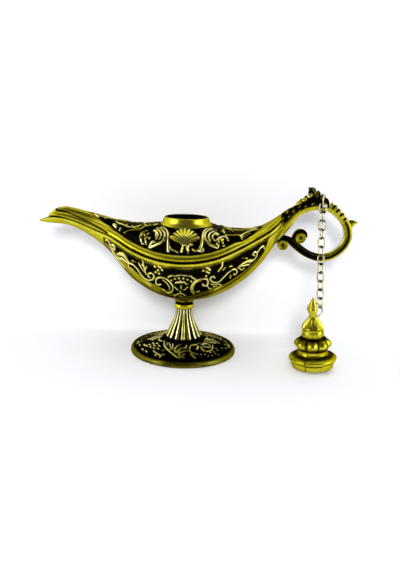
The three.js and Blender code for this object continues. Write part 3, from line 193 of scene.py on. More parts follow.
DISC_LINES: tuple[tuple, ...] = (
    ((0.9, 0.8, 1), (-8.6, -0.9, -9.5, -6.4, -9.1, -11.5, -7.2, -15.4, -5.1, -18.4, -2.5, -21.5, -1.1,
     -22.1)),
    ((0.8, 0.9, 1), (-8.6, -0.9, -6.2, -5.7, -4.9, -10.7, -5.1, -14.3, -6.4, -15.5)),
    ((0.6, 0.7, 0.9), (-7.9, -5.9, -6.6, -10.4, -5.8, -13.5), (7.1, -9.5, 4.7, -10.2, 3.6, -14, 4.5, -17.2,
     6.5, -18.2)),
    ((0.9, 0.6, 0.9), (-7.4, -7.1, -7.9, -10.9), (-12.4, 0.4, -12.5, -4.2, -10.7, -5.9), (2.4, -2.3, 4.6,
     -5.9, 6.2, -7)),
    ((0.7, 1.2, 1), (-4, -15.7, -2.6, -11.9, -0.6, -10.9, 2.3, -6.1)),
    ((0.7, 1.1, 1), (-3.1, -17.1, -0.9, -14.7, 1.5, -13.5, 2.3, -7.4)),
    ((0.9, 0.7, 0.9), (-3.8, -16.4, -3.1, -17.8), (-1.6, -16.1, -2.3, -18.4), (-17.5, -6.8, -16.6, -8.3),
     (-15.7, -5.9, -14.8, -7.4), (-13.6, -6.9, -12.7, -8.3), (-12.3, -10.2, -11.4, -11.4), (-12.7, -12.8,
     -11.9, -14), (-14.8, -11.8, -14, -13), (-16.8, -9.8, -15.9, -11.2), (-14.8, -8.8, -14, -10.2)),
    ((0.6, 0.8, 0.9), (4, -16.6, 1.2, -16.6, -1.1, -18.4, -1.2, -20.6, 0.4, -21.5)),
    ((0.7, 0.8, 0.8), (-0.2, -20.3, 1.1, -19.3)),
    ((0.7, 0.6, 0.8), (0.2, -21.2, 1.1, -22)),
    ((0.7, 0.9, 0.9), (-8.6, -19.3, -10.2, -19, -10.6, -20.8)),
    ((0.6, 0.7, 0.7), (-10.4, -15.6, -8.9, -15.2)),
    ((1.4, 0.7, 1), (-10, 1, -12.4, 0.4, -15.3, -1, -18.9, 1.4)),
    ((0.9, 0.7, 0.85), (-23, -3.3, -22.2, -5.8), (-20.3, -5.2, -19.5, -7.4), (-18.9, -7, -18.1, -9), (-20.7,
     -10, -19.9, -11.9), (-18.5, -13.1, -17.8, -14.7), (-25, 1.1, -24.1, -1.7), (-24.3, 2.7, -23.4, -0.5),
     (-14.5, -14.6, -13.9, -16), (-13.2, -16.4, -12.5, -17.7), (-13.5, -18, -12.8, -19.3), (-11.9, -18,
     -11.2, -19.3)),
    ((1.1, 0.6, 1), (8.7, -1.7, 8.7, -7.2), (12, -6.5, 9.6, -8.9), (12.9, -10.4, 10, -10.4), (10.9, -14.3,
     9.2, -11.5), (7.2, -13.9, 8, -11.1), (4.7, -10.9, 7.1, -9.8), (5.8, -4.6, 7.7, -8.5)),
    ((0.5, 0.5, 0.8), (9.6, -13.9, 12.1, -14.6, 14.9, -11.9, 15.4, -6.4)),
    ((0.6, 0.7, 0.8), (10.4, -6.4, 13.3, -6.7, 14.1, -9.8)),
    ((0.8, 0.8, 0.9), (4.5, -18.9, 6.6, -21.3)),
    ((1.3, 0.7, 1), (10.4, -1.4, 13.3, -1.5, 17.1, -2.1)),
    ((0.6, 0.6, 0.9), (9.9, -3.8, 13.3, -4.3, 16.7, -3)),
    ((0.8, 0.6, 0.9), (5.3, 0.5, 6.6, -4.5)),
)
DISC_BEADS: tuple[tuple, ...] = (
    ((0.8, 0.9), -16, -2.4),
    ((0.8, 0.85), 7.7, -18.2, 9.4, -18, 11.4, -17.4, 13.1, -18, 15.1, -16.9, 16.8, -14.4, 18.4, -14.7, 18,
     -10.7, 14.2, -14.8, 15.9, -13.3, 17.1, -9.4, 15.6, -8.7),
    ((0.9, 0.85), 22.2, -0.4, 20.3, -6.8, 22.5, -5.2),
)

# The two shells' stations from spout tip to tail: place along the lamp as a share of the spout's
# reach (negative) or the tail's, half width as a share of the bowl's, then keel, seam and ridge
# heights as shares of the body's rise, and how open the hollow is.
STATION_SHARES = (
    (-1.0, 0.012, 0.892, 0.903, 0.91, 0), (-0.965, 0.075, 0.884, 0.93, 0.94, 0),
    (-0.926, 0.128, 0.881, 0.951, 0.985, 0.25), (-0.885, 0.164, 0.878, 0.958, 1.045, 0.7),
    (-0.825, 0.186, 0.87, 0.952, 1.072, 1), (-0.74, 0.2, 0.829, 0.915, 1.05, 1),
    (-0.655, 0.235, 0.751, 0.86, 1.014, 1), (-0.575, 0.308, 0.655, 0.812, 0.974, 1),
    (-0.51, 0.384, 0.553, 0.778, 0.946, 1), (-0.45, 0.48, 0.424, 0.733, 0.924, 1),
    (-0.37, 0.616, 0.262, 0.664, 0.903, 1), (-0.285, 0.744, 0.153, 0.61, 0.894, 1),
    (-0.2, 0.856, 0.075, 0.574, 0.906, 1), (-0.105, 0.95, 0.024, 0.556, 0.925, 1),
    (0.0, 1.0, 0.0, 0.554, 0.934, 1), (0.15, 0.988, 0.012, 0.568, 0.927, 1),
    (0.25, 0.952, 0.036, 0.589, 0.91, 1), (0.34, 0.908, 0.073, 0.616, 0.892, 1),
    (0.467, 0.808, 0.144, 0.668, 0.862, 1), (0.594, 0.684, 0.241, 0.732, 0.851, 1),
    (0.717, 0.532, 0.366, 0.797, 0.878, 1), (0.835, 0.385, 0.53, 0.863, 0.934, 1),
    (0.9, 0.32, 0.64, 0.913, 0.984, 0.6), (0.953, 0.255, 0.729, 0.965, 1.03, 0),
    (1.0, 0.2, 0.8, 1.02, 1.068, 0),
)

# Handle centre lines: share of the handle's length, share of the body's rise, thick, wide.
LOOP_SHARES = (
    (-0.15, 0.765, 1.9, 2.2), (-0.043, 0.891, 2.35, 2.5), (0.037, 0.978, 2.2, 2.2), (0.109, 1.047, 1.98, 1.7),
    (0.191, 1.107, 1.7, 1.2), (0.297, 1.154, 1.54, 1.0), (0.411, 1.177, 1.42, 0.86),
    (0.524, 1.184, 1.4, 0.8), (0.615, 1.167, 1.42, 0.86), (0.705, 1.115, 1.3, 1.0),
    (0.801, 1.03, 1.24, 1.0), (0.871, 0.925, 1.24, 1.0), (0.889, 0.821, 1.22, 1.0),
    (0.855, 0.726, 1.2, 1.0), (0.78, 0.644, 1.16, 1.0), (0.676, 0.581, 1.12, 1.0),
    (0.547, 0.557, 1.08, 1.0), (0.406, 0.583, 1.08, 1.0), (0.282, 0.644, 1.12, 1.0),
    (0.177, 0.716, 1.12, 1.0), (0.098, 0.766, 0.9, 1.0), (0.014, 0.78, 0.86, 0.95),
    (-0.088, 0.75, 0.9, 0.9),
)
CURL_SHARES = (
    (0.241, 0.674, 0.8, 1.0), (0.184, 0.741, 0.62, 1.0), (0.175, 0.808, 0.52, 1.0),
    (0.215, 0.866, 0.5, 1.0), (0.272, 0.878, 0.48, 1.0), (0.322, 0.85, 0.42, 1.0),
    (0.338, 0.8, 0.3, 1.0),
)
SPUR_SHARES = (
    (0.87, 0.95, 1.6, 0.8), (0.93, 0.98, 1.05, 0.6), (0.975, 0.99, 0.5, 0.35), (1.012, 0.99, 0.06, 0.06),
)
# Crest leaves: polish of the edge, which on the three small bright leaves along the crest's upper left edge
# is rubbed wear with a painted highlight, then a line of (share of length, share of rise, thick, wide).
CREST_LEAVES = (
    (0.1, ((0.2, 1.13, 1.0, 0.8), (0.27, 1.19, 1.5, 0.85), (0.34, 1.24, 1.5, 0.8), (0.4, 1.3, 0.7, 0.6))),
    (0.1, ((0.3, 1.15, 1.2, 0.7), (0.39, 1.21, 1.6, 0.75),
           (0.45, 1.265, 1.2, 0.65), (0.475, 1.3, 0.6, 0.5))),
    (0.12, ((0.4, 1.16, 1.1, 0.7), (0.47, 1.2, 1.2, 0.7),
            (0.52, 1.24, 0.8, 0.55), (0.545, 1.265, 0.4, 0.4))),
    (0.8, ((0.165, 1.168, 0.2, 0.4), (0.195, 1.196, 0.5, 0.85),
           (0.23, 1.217, 0.5, 0.85), (0.255, 1.228, 0.15, 0.4))),
    (0.85, ((0.228, 1.21, 0.2, 0.4), (0.262, 1.236, 0.5, 0.9),
            (0.295, 1.257, 0.5, 0.9), (0.318, 1.27, 0.15, 0.4))),
    (1.0, ((0.3, 1.258, 0.2, 0.4), (0.33, 1.284, 0.5, 0.9),
           (0.36, 1.308, 0.5, 0.8), (0.385, 1.328, 0.15, 0.4))),
    (0.35, ((0.375, 1.29, 0.8, 0.6), (0.36, 1.33, 0.85, 0.6),
            (0.348, 1.365, 0.5, 0.4), (0.32, 1.39, 0.08, 0.1))),
    (0.5, ((0.4, 1.28, 0.5, 0.5), (0.408, 1.33, 0.5, 0.5),
           (0.392, 1.37, 0.4, 0.35), (0.355, 1.39, 0.1, 0.15))),
    (0.4, ((0.43, 1.26, 0.7, 0.6), (0.447, 1.3, 0.85, 0.6),
           (0.452, 1.33, 0.6, 0.45), (0.447, 1.355, 0.15, 0.15))),
    (0.5, ((0.47, 1.235, 0.6, 0.5), (0.492, 1.268, 0.7, 0.5),
           (0.503, 1.295, 0.5, 0.4), (0.507, 1.315, 0.12, 0.12))),
)


class Body(Enum):
    """The moving bodies that the lamp's pieces ride on."""

    LAMP = "lamp"
    TOP_RING = "chain_ring"
    LID_RING = "lid_ring"
    LID = "lid"


class Slot(Enum):
    """The record's finishes that a scene can repaint."""

    SHELL = "shell_brass"
    FOOT = "foot_brass"
    LID = "lid_brass"
    CHAIN = "chain_wire"


class Zone(IntEnum):
    """Zones of the pedestal's profile, in its order."""

    RIM = 0
    DISC = 1
    STEM = 2
    INSIDE = 3


class Lights(Enum):
    """What a soft box lights: the brass, which mirrors it, or the paper, which scatters it."""

    BRASS = "brass"
    PAPER = "paper"


@dataclass(frozen=True)
class LampSizes:
    """Sizes that more than one piece of the lamp shares, in millimetres."""

    spout_reach: float = 74.1
    tail_reach: float = 48.0
    handle_length: float = 37.9
    bowl_half_width: float = 25.0
    body_rise: float = 42.4
    pedestal_height: float = 23.2
    collar_height: float = 4.9
    cast_wall: float = 1.6
    fit_gap: float = 0.3
    neck_bore: float = 10.35
    neck_lip: float = 0.65
    screw_clearance: float = 1.55
    ring_wire: float = 0.8

    @property
    def bowl_bottom(self) -> float:
        """Height of the bowl's lowest point."""
        return self.pedestal_height + self.collar_height + self.fit_gap

    @property
    def neck_rim(self) -> float:
        """Height of the neck's open rim."""
        return self.bowl_bottom + self.body_rise

    def along_handle(self, share: float) -> float:
        """Place along the lamp of a share of the handle's length."""
        return self.tail_reach + share * self.handle_length

    def up_body(self, share: float) -> float:
        """Height of a share of the body's rise."""
        return self.bowl_bottom + share * self.body_rise


def smooth_step(low: float, high: float, value: np.ndarray) -> np.ndarray:
    """Rises smoothly from 0 at low to 1 at high.

    Args:
        low: Value where the step starts.
        high: Value where it ends; it may be below low.
        value: Values to look up.

    Returns:
        The step's height at each value.
    """
    share = np.clip((np.asarray(value, float) - low) / (high - low), 0.0, 1.0)
    return share * share * (3.0 - 2.0 * share)


def fair_curve(knots: np.ndarray, values: np.ndarray, places: np.ndarray) -> np.ndarray:
    """Runs a smooth curve through given values.

    Args:
        knots: Rising places of the given values.
        values: One row of values for each knot.
        places: Places to read the curve at.

    Returns:
        One row of values for each place.
    """
    steps = np.diff(knots)[:, None]
    slopes = np.diff(values, axis=0) / steps
    tangents = np.empty_like(values)
    tangents[0], tangents[-1] = slopes[0], slopes[-1]
    tangents[1:-1] = (slopes[:-1] * steps[1:] + slopes[1:] * steps[:-1]) / (steps[:-1] + steps[1:])
    k = np.clip(np.searchsorted(knots, places, side="right") - 1, 0, len(knots) - 2)
    h = steps[k]
    t = ((places - knots[k]) / h[:, 0])[:, None]
    return (
        (1 + 2 * t) * (1 - t) ** 2 * values[k] + t * (1 - t) ** 2 * h * tangents[k]
        + t * t * (3 - 2 * t) * values[k + 1] + t * t * (t - 1) * h * tangents[k + 1]
    )


def even_line(points: np.ndarray, count: int) -> np.ndarray:
    """Puts a number of points at even steps along a line.

    Args:
        points: The line's points, one row each.
        count: How many points the new line has.

    Returns:
        The new line's points.
    """
    run = np.concatenate([[0.0], np.cumsum(np.linalg.norm(np.diff(points, axis=0), axis=1))])
    places = np.linspace(0.0, run[-1], count)
    return np.stack([np.interp(places, run, points[:, i]) for i in range(points.shape[1])], axis=1)


def skin_normals(skin: np.ndarray) -> np.ndarray:
    """Unit normals of a skin of rows and columns of points, by the right-hand rule.

    Args:
        skin: Points in rows and columns.

    Returns:
        One normal for each point.
    """
    normal = np.cross(np.gradient(skin, axis=0), np.gradient(skin, axis=1))
    length = np.linalg.norm(normal, axis=2, keepdims=True)
    return normal / np.maximum(length, 1e-9)


def edge_distance(skin: np.ndarray) -> np.ndarray:
    """Distance of each point from its row's nearer end, on the row's mean step."""
    step = np.linalg.norm(np.diff(skin, axis=1), axis=2).mean(axis=1)[:, None]
    order = np.arange(skin.shape[1])
    return np.minimum(order, order[::-1])[None, :] * step


def ornament_rows(lines: tuple, beads: tuple = ()) -> list[tuple]:
    """Writes groups out as rows of start width, end width, rise share and points.

    Args:
        lines: Groups of lines.
        beads: Groups of beads.

    Returns:
        One row for each line and bead.
    """
    rows = [(*style, *zip(line[::2], line[1::2])) for style, *group in lines for line in group]
    for (wide, share), *spots in beads:
        rows += [(wide, wide, share, spot) for spot in zip(spots[::2], spots[1::2])]
    return rows


def fan_rows() -> list[tuple]:
    """The rows of the dome's fan: a plate, its ribs and a bead at each tip."""
    rows = []
    for tip in FAN_TIPS:
        plate, rib = (tuple(f + share * (t - f) for f, t, share in zip(FAN_FOOT, tip, shares))
                      for shares in (FAN_PLATE_SHARES, FAN_RIB_SHARES))
        rows += [(1.0, 3.0, 0.42, FAN_FOOT, plate), (0.5, 2.1, 0.7, FAN_FOOT, rib, tip), (1.5, 1.5, 1.0, tip)]
    return rows


def pick_everything(on: bool) -> None:
    """Selects or deselects all of the mesh that is being edited."""
    bpy.ops.mesh.select_all(action="SELECT" if on else "DESELECT")


def start_piece(piece: bpy.types.Object | None = None) -> None:
    """Leaves nothing selected but the piece that is given, so that the next operator acts on it alone."""
    if bpy.context.object is not None and bpy.context.object.mode != "OBJECT":
        bpy.ops.object.mode_set(mode="OBJECT")
    bpy.ops.object.select_all(action="DESELECT")
    if piece is not None:
        bpy.context.view_layer.objects.active = piece
        piece.select_set(True)


def named(name: str) -> bpy.types.Object:
    """Names the object that an operator has just added."""
    piece = bpy.context.active_object
    piece.name = piece.data.name = name
    return piece


def to_frame(place: np.ndarray | tuple) -> tuple:
    """A place in millimetres from the foot's axis as metres of the shared frame."""
    return tuple((np.array(place) + ORIGIN_SHIFT) * MM)


def close_and_smooth(piece: bpy.types.Object, crease_degrees: float) -> None:
    """Merges doubles, fills open ends, points faces outwards and shades smoothly.

    Args:
        piece: The mesh object, in metres.
        crease_degrees: Edges sharper than this stay crisp.
    """
    start_piece(piece)
    bpy.ops.object.mode_set(mode="EDIT")
    pick_everything(True)
    bpy.ops.mesh.remove_doubles(threshold=MERGE_DISTANCE)
    pick_everything(True)
    bpy.ops.mesh.fill_holes(sides=0)
    pick_everything(True)
    bpy.ops.mesh.normals_make_consistent(inside=False)
    bpy.ops.object.mode_set(mode="OBJECT")
    bpy.ops.object.shade_smooth_by_angle(angle=math.radians(crease_degrees))


def cut_round_hole(piece: bpy.types.Object, centre: np.ndarray | tuple, radius: float, length: float,
                   sides: int, rotation: tuple = (0, 0, 0)) -> None:
    """Cuts a round hole through a piece.

    Args:
        piece: The piece to cut.
        centre: The middle of the cut, in millimetres from the foot's axis.
        radius: The hole's radius.
        length: The cut's length.
        sides: Flats round the hole.
        rotation: Turns of the upright cutter.
    """
    start_piece()
    bpy.ops.mesh.primitive_cylinder_add(vertices=sides, radius=radius * MM, depth=length * MM,
                                        location=to_frame(centre), rotation=rotation)
    cutter = bpy.context.active_object
    start_piece(piece)
    hole = piece.modifiers.new("hole", "BOOLEAN")
    hole.operation, hole.solver, hole.object = "DIFFERENCE", "EXACT", cutter
    bpy.ops.object.modifier_apply(modifier=hole.name)
    bpy.data.objects.remove(cutter)


def set_points(piece: bpy.types.Object, points: np.ndarray) -> None:
    """Moves a piece's points, given in millimetres from the foot's axis, into the frame."""
    frame_points = (points + ORIGIN_SHIFT) * MM
    piece.data.vertices.foreach_set("co", frame_points.astype(np.float32).ravel())
    piece.data.update()


def mesh_points(piece: bpy.types.Object) -> np.ndarray:
    """A piece's points as its mesh holds them, in metres."""
    points = np.empty(len(piece.data.vertices) * 3, np.float32)
    piece.data.vertices.foreach_get("co", points)
    return points.reshape(-1, 3)


def get_points(piece: bpy.types.Object) -> np.ndarray:
    """A piece's points in millimetres from the foot's axis."""
    return mesh_points(piece).astype(float) / MM - ORIGIN_SHIFT


def give_values(piece: bpy.types.Object, name: str, values: np.ndarray) -> None:
    """Stores one number for each point, for the finish to read."""
    layer = piece.data.attributes.get(name) or piece.data.attributes.new(name, "FLOAT", "POINT")
    layer.data.foreach_set("value", np.clip(values, 0.0, 1.0).astype(np.float32).ravel())


def lay_skin(name: str, skin: np.ndarray, polish: np.ndarray,
             crease_degrees: float = CREASE_DEGREES) -> bpy.types.Object:
    """Lays a grid's points on a skin, and closes the seam and the ends.

    Args:
        name: The piece's name.
        skin: Rows and columns of points; the last column repeats the first on a closed section.
        polish: How rubbed bright each point is, from 0 to 1; in places it also carries painted shade and
            painted highlights.
        crease_degrees: Edges sharper than this stay crisp.

    Returns:
        The piece.
    """
    rows, columns = skin.shape[:2]
    start_piece()
    bpy.ops.mesh.primitive_grid_add(x_subdivisions=columns - 1, y_subdivisions=rows - 1, size=2)
    piece = named(name)
    flat = mesh_points(piece)
    column = np.rint((flat[:, 0] + 1) / 2 * (columns - 1)).astype(int)
    row = np.rint((flat[:, 1] + 1) / 2 * (rows - 1)).astype(int)
    set_points(piece, skin[row, column])
    give_values(piece, "polish", polish[row, column])
    close_and_smooth(piece, crease_degrees)
    return piece


def lay_shell(name: str, outer: np.ndarray, inner: np.ndarray, polish: np.ndarray) -> bpy.types.Object:
    """Lays the outside and the inside of a shell as one closed skin.

    Args:
        name: The piece's name.
        outer: The outside, from edge to edge.
        inner: The inside, back from edge to edge.
        polish: How rubbed bright each outside point is; in places it also carries painted shade and painted
            highlights.

    Returns:
        The piece.
    """
    # The inside is black: painted shade in the hollow.
    dull = np.full(inner.shape[:2], INSIDE_SHADE_POLISH)
    return lay_skin(name, np.concatenate([outer, inner, outer[:, :1]], axis=1),
                    np.concatenate([polish, dull, polish[:, :1]], axis=1))


def inside_skin(places: np.ndarray, half: np.ndarray, edge: np.ndarray, depth: np.ndarray,
                columns: int) -> np.ndarray:
    """The inside of a shell, from the back edge to the front edge.

    Args:
        places: Places along the lamp.
        half: Half width of the hollow at each place.
        edge: Height of the shell's edge.
        depth: How far the hollow rises above the edge; it may be negative.
        columns: Points across.

    Returns:
        Points in rows and columns.
    """
    turn = math.pi * (0.5 - np.linspace(0, 1, columns))
    across, up = (half[:, None] * np.sin(turn), edge[:, None] + depth[:, None] * np.cos(turn))
    return np.stack([np.broadcast_to(places[:, None], across.shape), across, up], axis=-1)


def turn_profile(name: str, profile: list[tuple[float, float]], steps: int) -> bpy.types.Object:
    """Draws a profile by extruding a point, and spins it about the foot's axis.

    Args:
        name: The piece's name.
        profile: Points of (radius, height); a closed profile ends where it starts.
        steps: Faces round the piece.

    Returns:
        The piece.
    """
    centre = ORIGIN_SHIFT * MM
    points = [centre + np.array((r, 0.0, z)) * MM for r, z in profile]
    start_piece()
    bpy.ops.mesh.primitive_plane_add(size=MM, location=tuple(points[0]))
    piece = named(name)
    bpy.ops.object.transform_apply(location=True, rotation=True, scale=True)
    bpy.ops.object.mode_set(mode="EDIT")
    pick_everything(True)
    bpy.ops.mesh.merge(type="CENTER")
    for before, after in zip(points, points[1:]):
        bpy.ops.mesh.extrude_vertices_move(TRANSFORM_OT_translate={"value": tuple(after - before)})
    pick_everything(True)
    bpy.ops.mesh.spin(steps=steps, angle=math.tau, center=tuple(centre), axis=(0, 0, 1))
    bpy.ops.object.mode_set(mode="OBJECT")
    close_and_smooth(piece, CREASE_DEGREES)
    return piece


def rounded_profile(corners: list[tuple[float, float]], soften: float) -> list[tuple[float, float]]:
    """Rounds the inner corners of a profile.

    Args:
        corners: Points of (radius, height).
        soften: Largest distance from a corner at which its rounding starts.

    Returns:
        The rounded profile.
    """
    made = [corners[0]]
    for before, corner, after in zip(corners, corners[1:], corners[2:]):
        b, c, a = (np.array(p, float) for p in (before, corner, after))
        back, on = b - c, a - c
        reach = min(soften, 0.45 * np.linalg.norm(back), 0.45 * np.linalg.norm(on))
        start = c + back / max(np.linalg.norm(back), 1e-9) * reach
        end = c + on / max(np.linalg.norm(on), 1e-9) * reach
        for i in range(ROUNDING_STEPS + 1):
            t = i / ROUNDING_STEPS
            made.append(tuple((1 - t) ** 2 * start + 2 * t * (1 - t) * c + t * t * end))
    made.append(corners[-1])
    return made


@dataclass
class Ornament:
    """Raised lines of a cast surface, as short straight runs in space.

    A line is drawn wider than its table says by the share widen, and each stretch of it in finer runs.
    """

    widen: float = 1.2
    finer: int = 4
    runs: list[tuple] = field(default_factory=list)

    def add(self, table: list[tuple], to_space: Callable[[np.ndarray], np.ndarray]) -> None:
        """Takes in a table of lines.

        Args:
            table: Rows of start width, end width, rise share and points.
            to_space: Gives the places in space of an array of surface points.
        """
        for start, end, share, *points in table:
            space = to_space(np.array(points, float))
            if len(space) > 2:
                knots = np.arange(len(space), dtype=float)
                places = np.linspace(0, len(space) - 1, (len(space) - 1) * self.finer + 1)
                space = fair_curve(knots, space, places)
            widths = np.linspace(start, end, max(len(space), 2)) * self.widen
            for i in range(max(len(space) - 1, 1)):
                j = min(i + 1, len(space) - 1)
                self.runs.append((space[i], space[j], widths[i], widths[i + 1], math.sqrt(share)))

    @staticmethod
    def shine(raised: np.ndarray) -> np.ndarray:
        """How rubbed bright a raised point is: the flanks too, not the foot."""
        return 1.02 * raised * smooth_step(0.1, 0.5, raised)

    def share_at(self, points: np.ndarray, skirt: float = 0.3) -> np.ndarray:
        """How far each point is raised.

        Args:
            points: Points in space.
            skirt: How far a line's foot spreads past its edge.

        Returns:
            The raised share of each point, from 0 to 1.
        """
        raised = np.zeros(len(points))
        for start, end, width, end_width, share in self.runs:
            reach = max(width, end_width) / 2 + skirt
            low, high = np.minimum(start, end) - reach, np.maximum(start, end) + reach
            near = np.flatnonzero(np.all((points > low) & (points < high), axis=1))
            if not len(near):
                continue
            along = end - start
            offset = points[near] - start
            t = np.clip(offset @ along / max(along @ along, 1e-9), 0, 1)
            distance = np.linalg.norm(offset - t[:, None] * along, axis=1)
            half = (width + (end_width - width) * t) / 2 + skirt
            swell = share * smooth_step(1.0, 0.12, distance / half)
            raised[near] = np.maximum(raised[near], swell)
        return raised

    def share_on(self, skin: np.ndarray, skirt: float = 0.3) -> np.ndarray:
        """How far each point of a skin is raised, with the front's lines on the back too."""
        front = skin.reshape(-1, 3).copy()
        front[:, 1] = np.abs(front[:, 1])
        return self.share_at(front, skirt).reshape(skin.shape[:2])


@dataclass
class Hull:
    """The smooth body that both shells follow."""

    sizes: LampSizes
    dome_fullness: float = 0.8
    rim_rise: float = 3.5
    rim_run: float = 2.6
    rim_points: int = 40
    dome_points: int = 90
    # The cover's tail ends in a rounded nose: place, half width, keel, seam and ridge.
    nose: tuple = ((45.7, 6.3, 59.6, 69.1, 72.1), (47.0, 4.7, 61.2, 70.3, 73.1),
                   (47.9, 2.8, 62.3, 71.3, 73.3), (48.4, 0.5, 62.9, 71.9, 72.8))

    def __post_init__(self) -> None:
        """Turns the shares into millimetres."""
        s = self.sizes
        rows = []
        for along, wide, keel, seam, ridge, hollow in STATION_SHARES:
            reach = s.spout_reach if along < 0 else s.tail_reach
            rows.append((along * reach, wide * s.bowl_half_width, s.up_body(keel), s.up_body(seam),
                         s.up_body(ridge), hollow))
        self.table = np.array(rows)
        self.cover_table = np.array(rows[:-2] + [(*row, 0.0) for row in self.nose])

    def at(self, places: np.ndarray, on_cover: bool = False) -> np.ndarray:
        """Half width, keel, seam, ridge and hollow at places along the lamp.

        Args:
            places: Places along the lamp.
            on_cover: Whether the cover's rounded nose at the tail counts.

        Returns:
            One row of five values for each place.
        """
        table = self.cover_table if on_cover else self.table
        return fair_curve(table[:, 0], table[:, 1:], np.asarray(places, float))

    def belly_place(self, flat: np.ndarray) -> np.ndarray:
        """Places on the bowl's front for rows of (along, up)."""
        half, keel, seam, _, _ = self.at(flat[:, 0]).T
        fall = np.clip((seam - flat[:, 1]) / (seam - keel), 0.0, 0.999)
        return np.stack([flat[:, 0], half * np.sqrt(1 - fall**2), flat[:, 1]], axis=1)

    def dome_place(self, flat: np.ndarray) -> np.ndarray:
        """Places on the cover's dome or rim for rows of (along, up)."""
        made = []
        for along, up in flat:
            outline = self.cover_outline(self.at(np.array([along]))[0], self.sizes.fit_gap)
            k = int(np.argmin(np.abs(outline[:, 1] - up)))
            made.append((along, outline[k, 0], outline[k, 1]))
        return np.array(made)

    def cover_outline(self, station: np.ndarray, lift: float) -> np.ndarray:
        """The cover's half section at one station, from its edge to the ridge.

        Args:
            station: Half width, keel, seam, ridge and hollow.
            lift: Gap between the seam and the cover's edge.

        Returns:
            Rows of (half width, height), the rim's points first.
        """
        half, _, seam, ridge, _ = station
        edge = seam + lift
        room = max(ridge - edge, THINNEST)
        rise = min(self.rim_rise, room / 2)
        run = min(self.rim_run, half * 0.42)
        bulge = 0.3 * min(1.0, half / self.sizes.bowl_half_width + 0.3)
        t = np.linspace(0, 1, self.rim_points)[:, None]
        corner = np.array((half + 0.26 * run + 2 * bulge, edge + 0.6 * rise))
        first, last = np.array((half, edge)), np.array((half - run, edge + rise))
        rim = (1 - t) ** 2 * first + 2 * t * (1 - t) * corner + t * t * last
        turn = np.linspace(0, math.pi / 2, self.dome_points)[1:, None]
        dome = np.hstack([(half - run) * np.cos(turn).clip(0) ** self.dome_fullness,
                          edge + rise + (room - rise) * np.sin(turn) ** self.dome_fullness])
        return np.vstack([rim, dome])


@dataclass(frozen=True)
class PatinaFinish:
    """Antique brass: a plated casting blackened all over, then rubbed bright on what stands proud.

    The eye sees black recesses, olive brass on the smooth parts and pale cream on the high lines.
    """

    name: str
    black: str = "#0B0A05"
    dark: str = "#3B380B"
    brass: str = "#B8AB16"
    bright: str = "#D8D244"
    cream: str = "#F1EABA"
    bright_rough: float = 0.2
    black_rough: float = 0.5
    # Real grit of the cast ground in millimetres, drawn coarse enough to show.
    grit_mm: float = 0.55
    grit_share: float = 0.22
    streak_mm: float = 7.0
    streak_share: float = 0.16
    bump_mm: float = 0.05
    tint: str = "#A9A684"
    # How rubbed bright each colour starts: black twice, dark, brass, bright and cream.
    stops: tuple = (0.0, 0.28, 0.42, 0.6, 0.8, 1.0)


@dataclass(frozen=True)
class WireFinish:
    """Bright plated steel wire: smooth and shiny, with faint dulling where links rub, and painted shade that
    darkens the ends of each link where links overlap.
    """

    name: str
    colour: str = "#E9E3B4"
    dull: str = "#8A8455"
    # Colour at the link ends: rub wear, and painted shade where links overlap.
    worn_and_shaded: str = "#1E1B0A"
    rough: float = 0.2
    mottle_mm: float = 1.2


def linear(hex_colour: str) -> tuple[float, float, float, float]:
    """Turns an sRGB hex colour to the linear values that a shader takes."""
    parts = [int(hex_colour[i:i + 2], 16) / 255 for i in (1, 3, 5)]
    low = [p / 12.92 if p <= 0.04045 else ((p + 0.055) / 1.055) ** 2.4 for p in parts]
    return (*low, 1.0)


def add_node(tree: bpy.types.NodeTree, kind: str, settings: dict | None = None, **links) -> bpy.types.Node:
    """Adds a node with its settings, and links or sets its inputs.

    Args:
        tree: The material's nodes.
        kind: The node's type.
        settings: Attributes of the node.
        **links: Input names, with spaces as underscores, or n and a number, to a value or a node's socket.

    Returns:
        The node.
    """
    node = tree.nodes.new(kind)
    for key, value in (settings or {}).items():
        setattr(node, key, value)
    for key, value in links.items():
        numbered = key[0] == "n" and key[1:].isdigit()
        socket = node.inputs[int(key[1:]) if numbered else key.replace("_", " ")]
        if isinstance(value, bpy.types.NodeSocket):
            tree.links.new(value, socket)
        else:
            socket.default_value = value
    return node


def new_material(name: str) -> tuple[bpy.types.Material, bpy.types.NodeTree, bpy.types.Node]:
    """Makes a material with its nodes cleared but for the shader and the output."""
    material = bpy.data.materials.new(name)
    material.use_nodes = True
    tree = material.node_tree
    tree.nodes.clear()
    shader = add_node(tree, "ShaderNodeBsdfPrincipled")
    add_node(tree, "ShaderNodeOutputMaterial", Surface=shader.outputs["BSDF"])
    return material, tree, shader


def set_ramp(node: bpy.types.Node, stops: list[tuple[float, str]]) -> None:
    """Gives a colour ramp its stops of (place, hex colour)."""
    ramp = node.color_ramp
    while len(ramp.elements) > 1:
        ramp.elements.remove(ramp.elements[-1])
    ramp.elements[0].position, ramp.elements[0].color = stops[0][0], linear(stops[0][1])
    for place, colour in stops[1:]:
        ramp.elements.new(place).color = linear(colour)


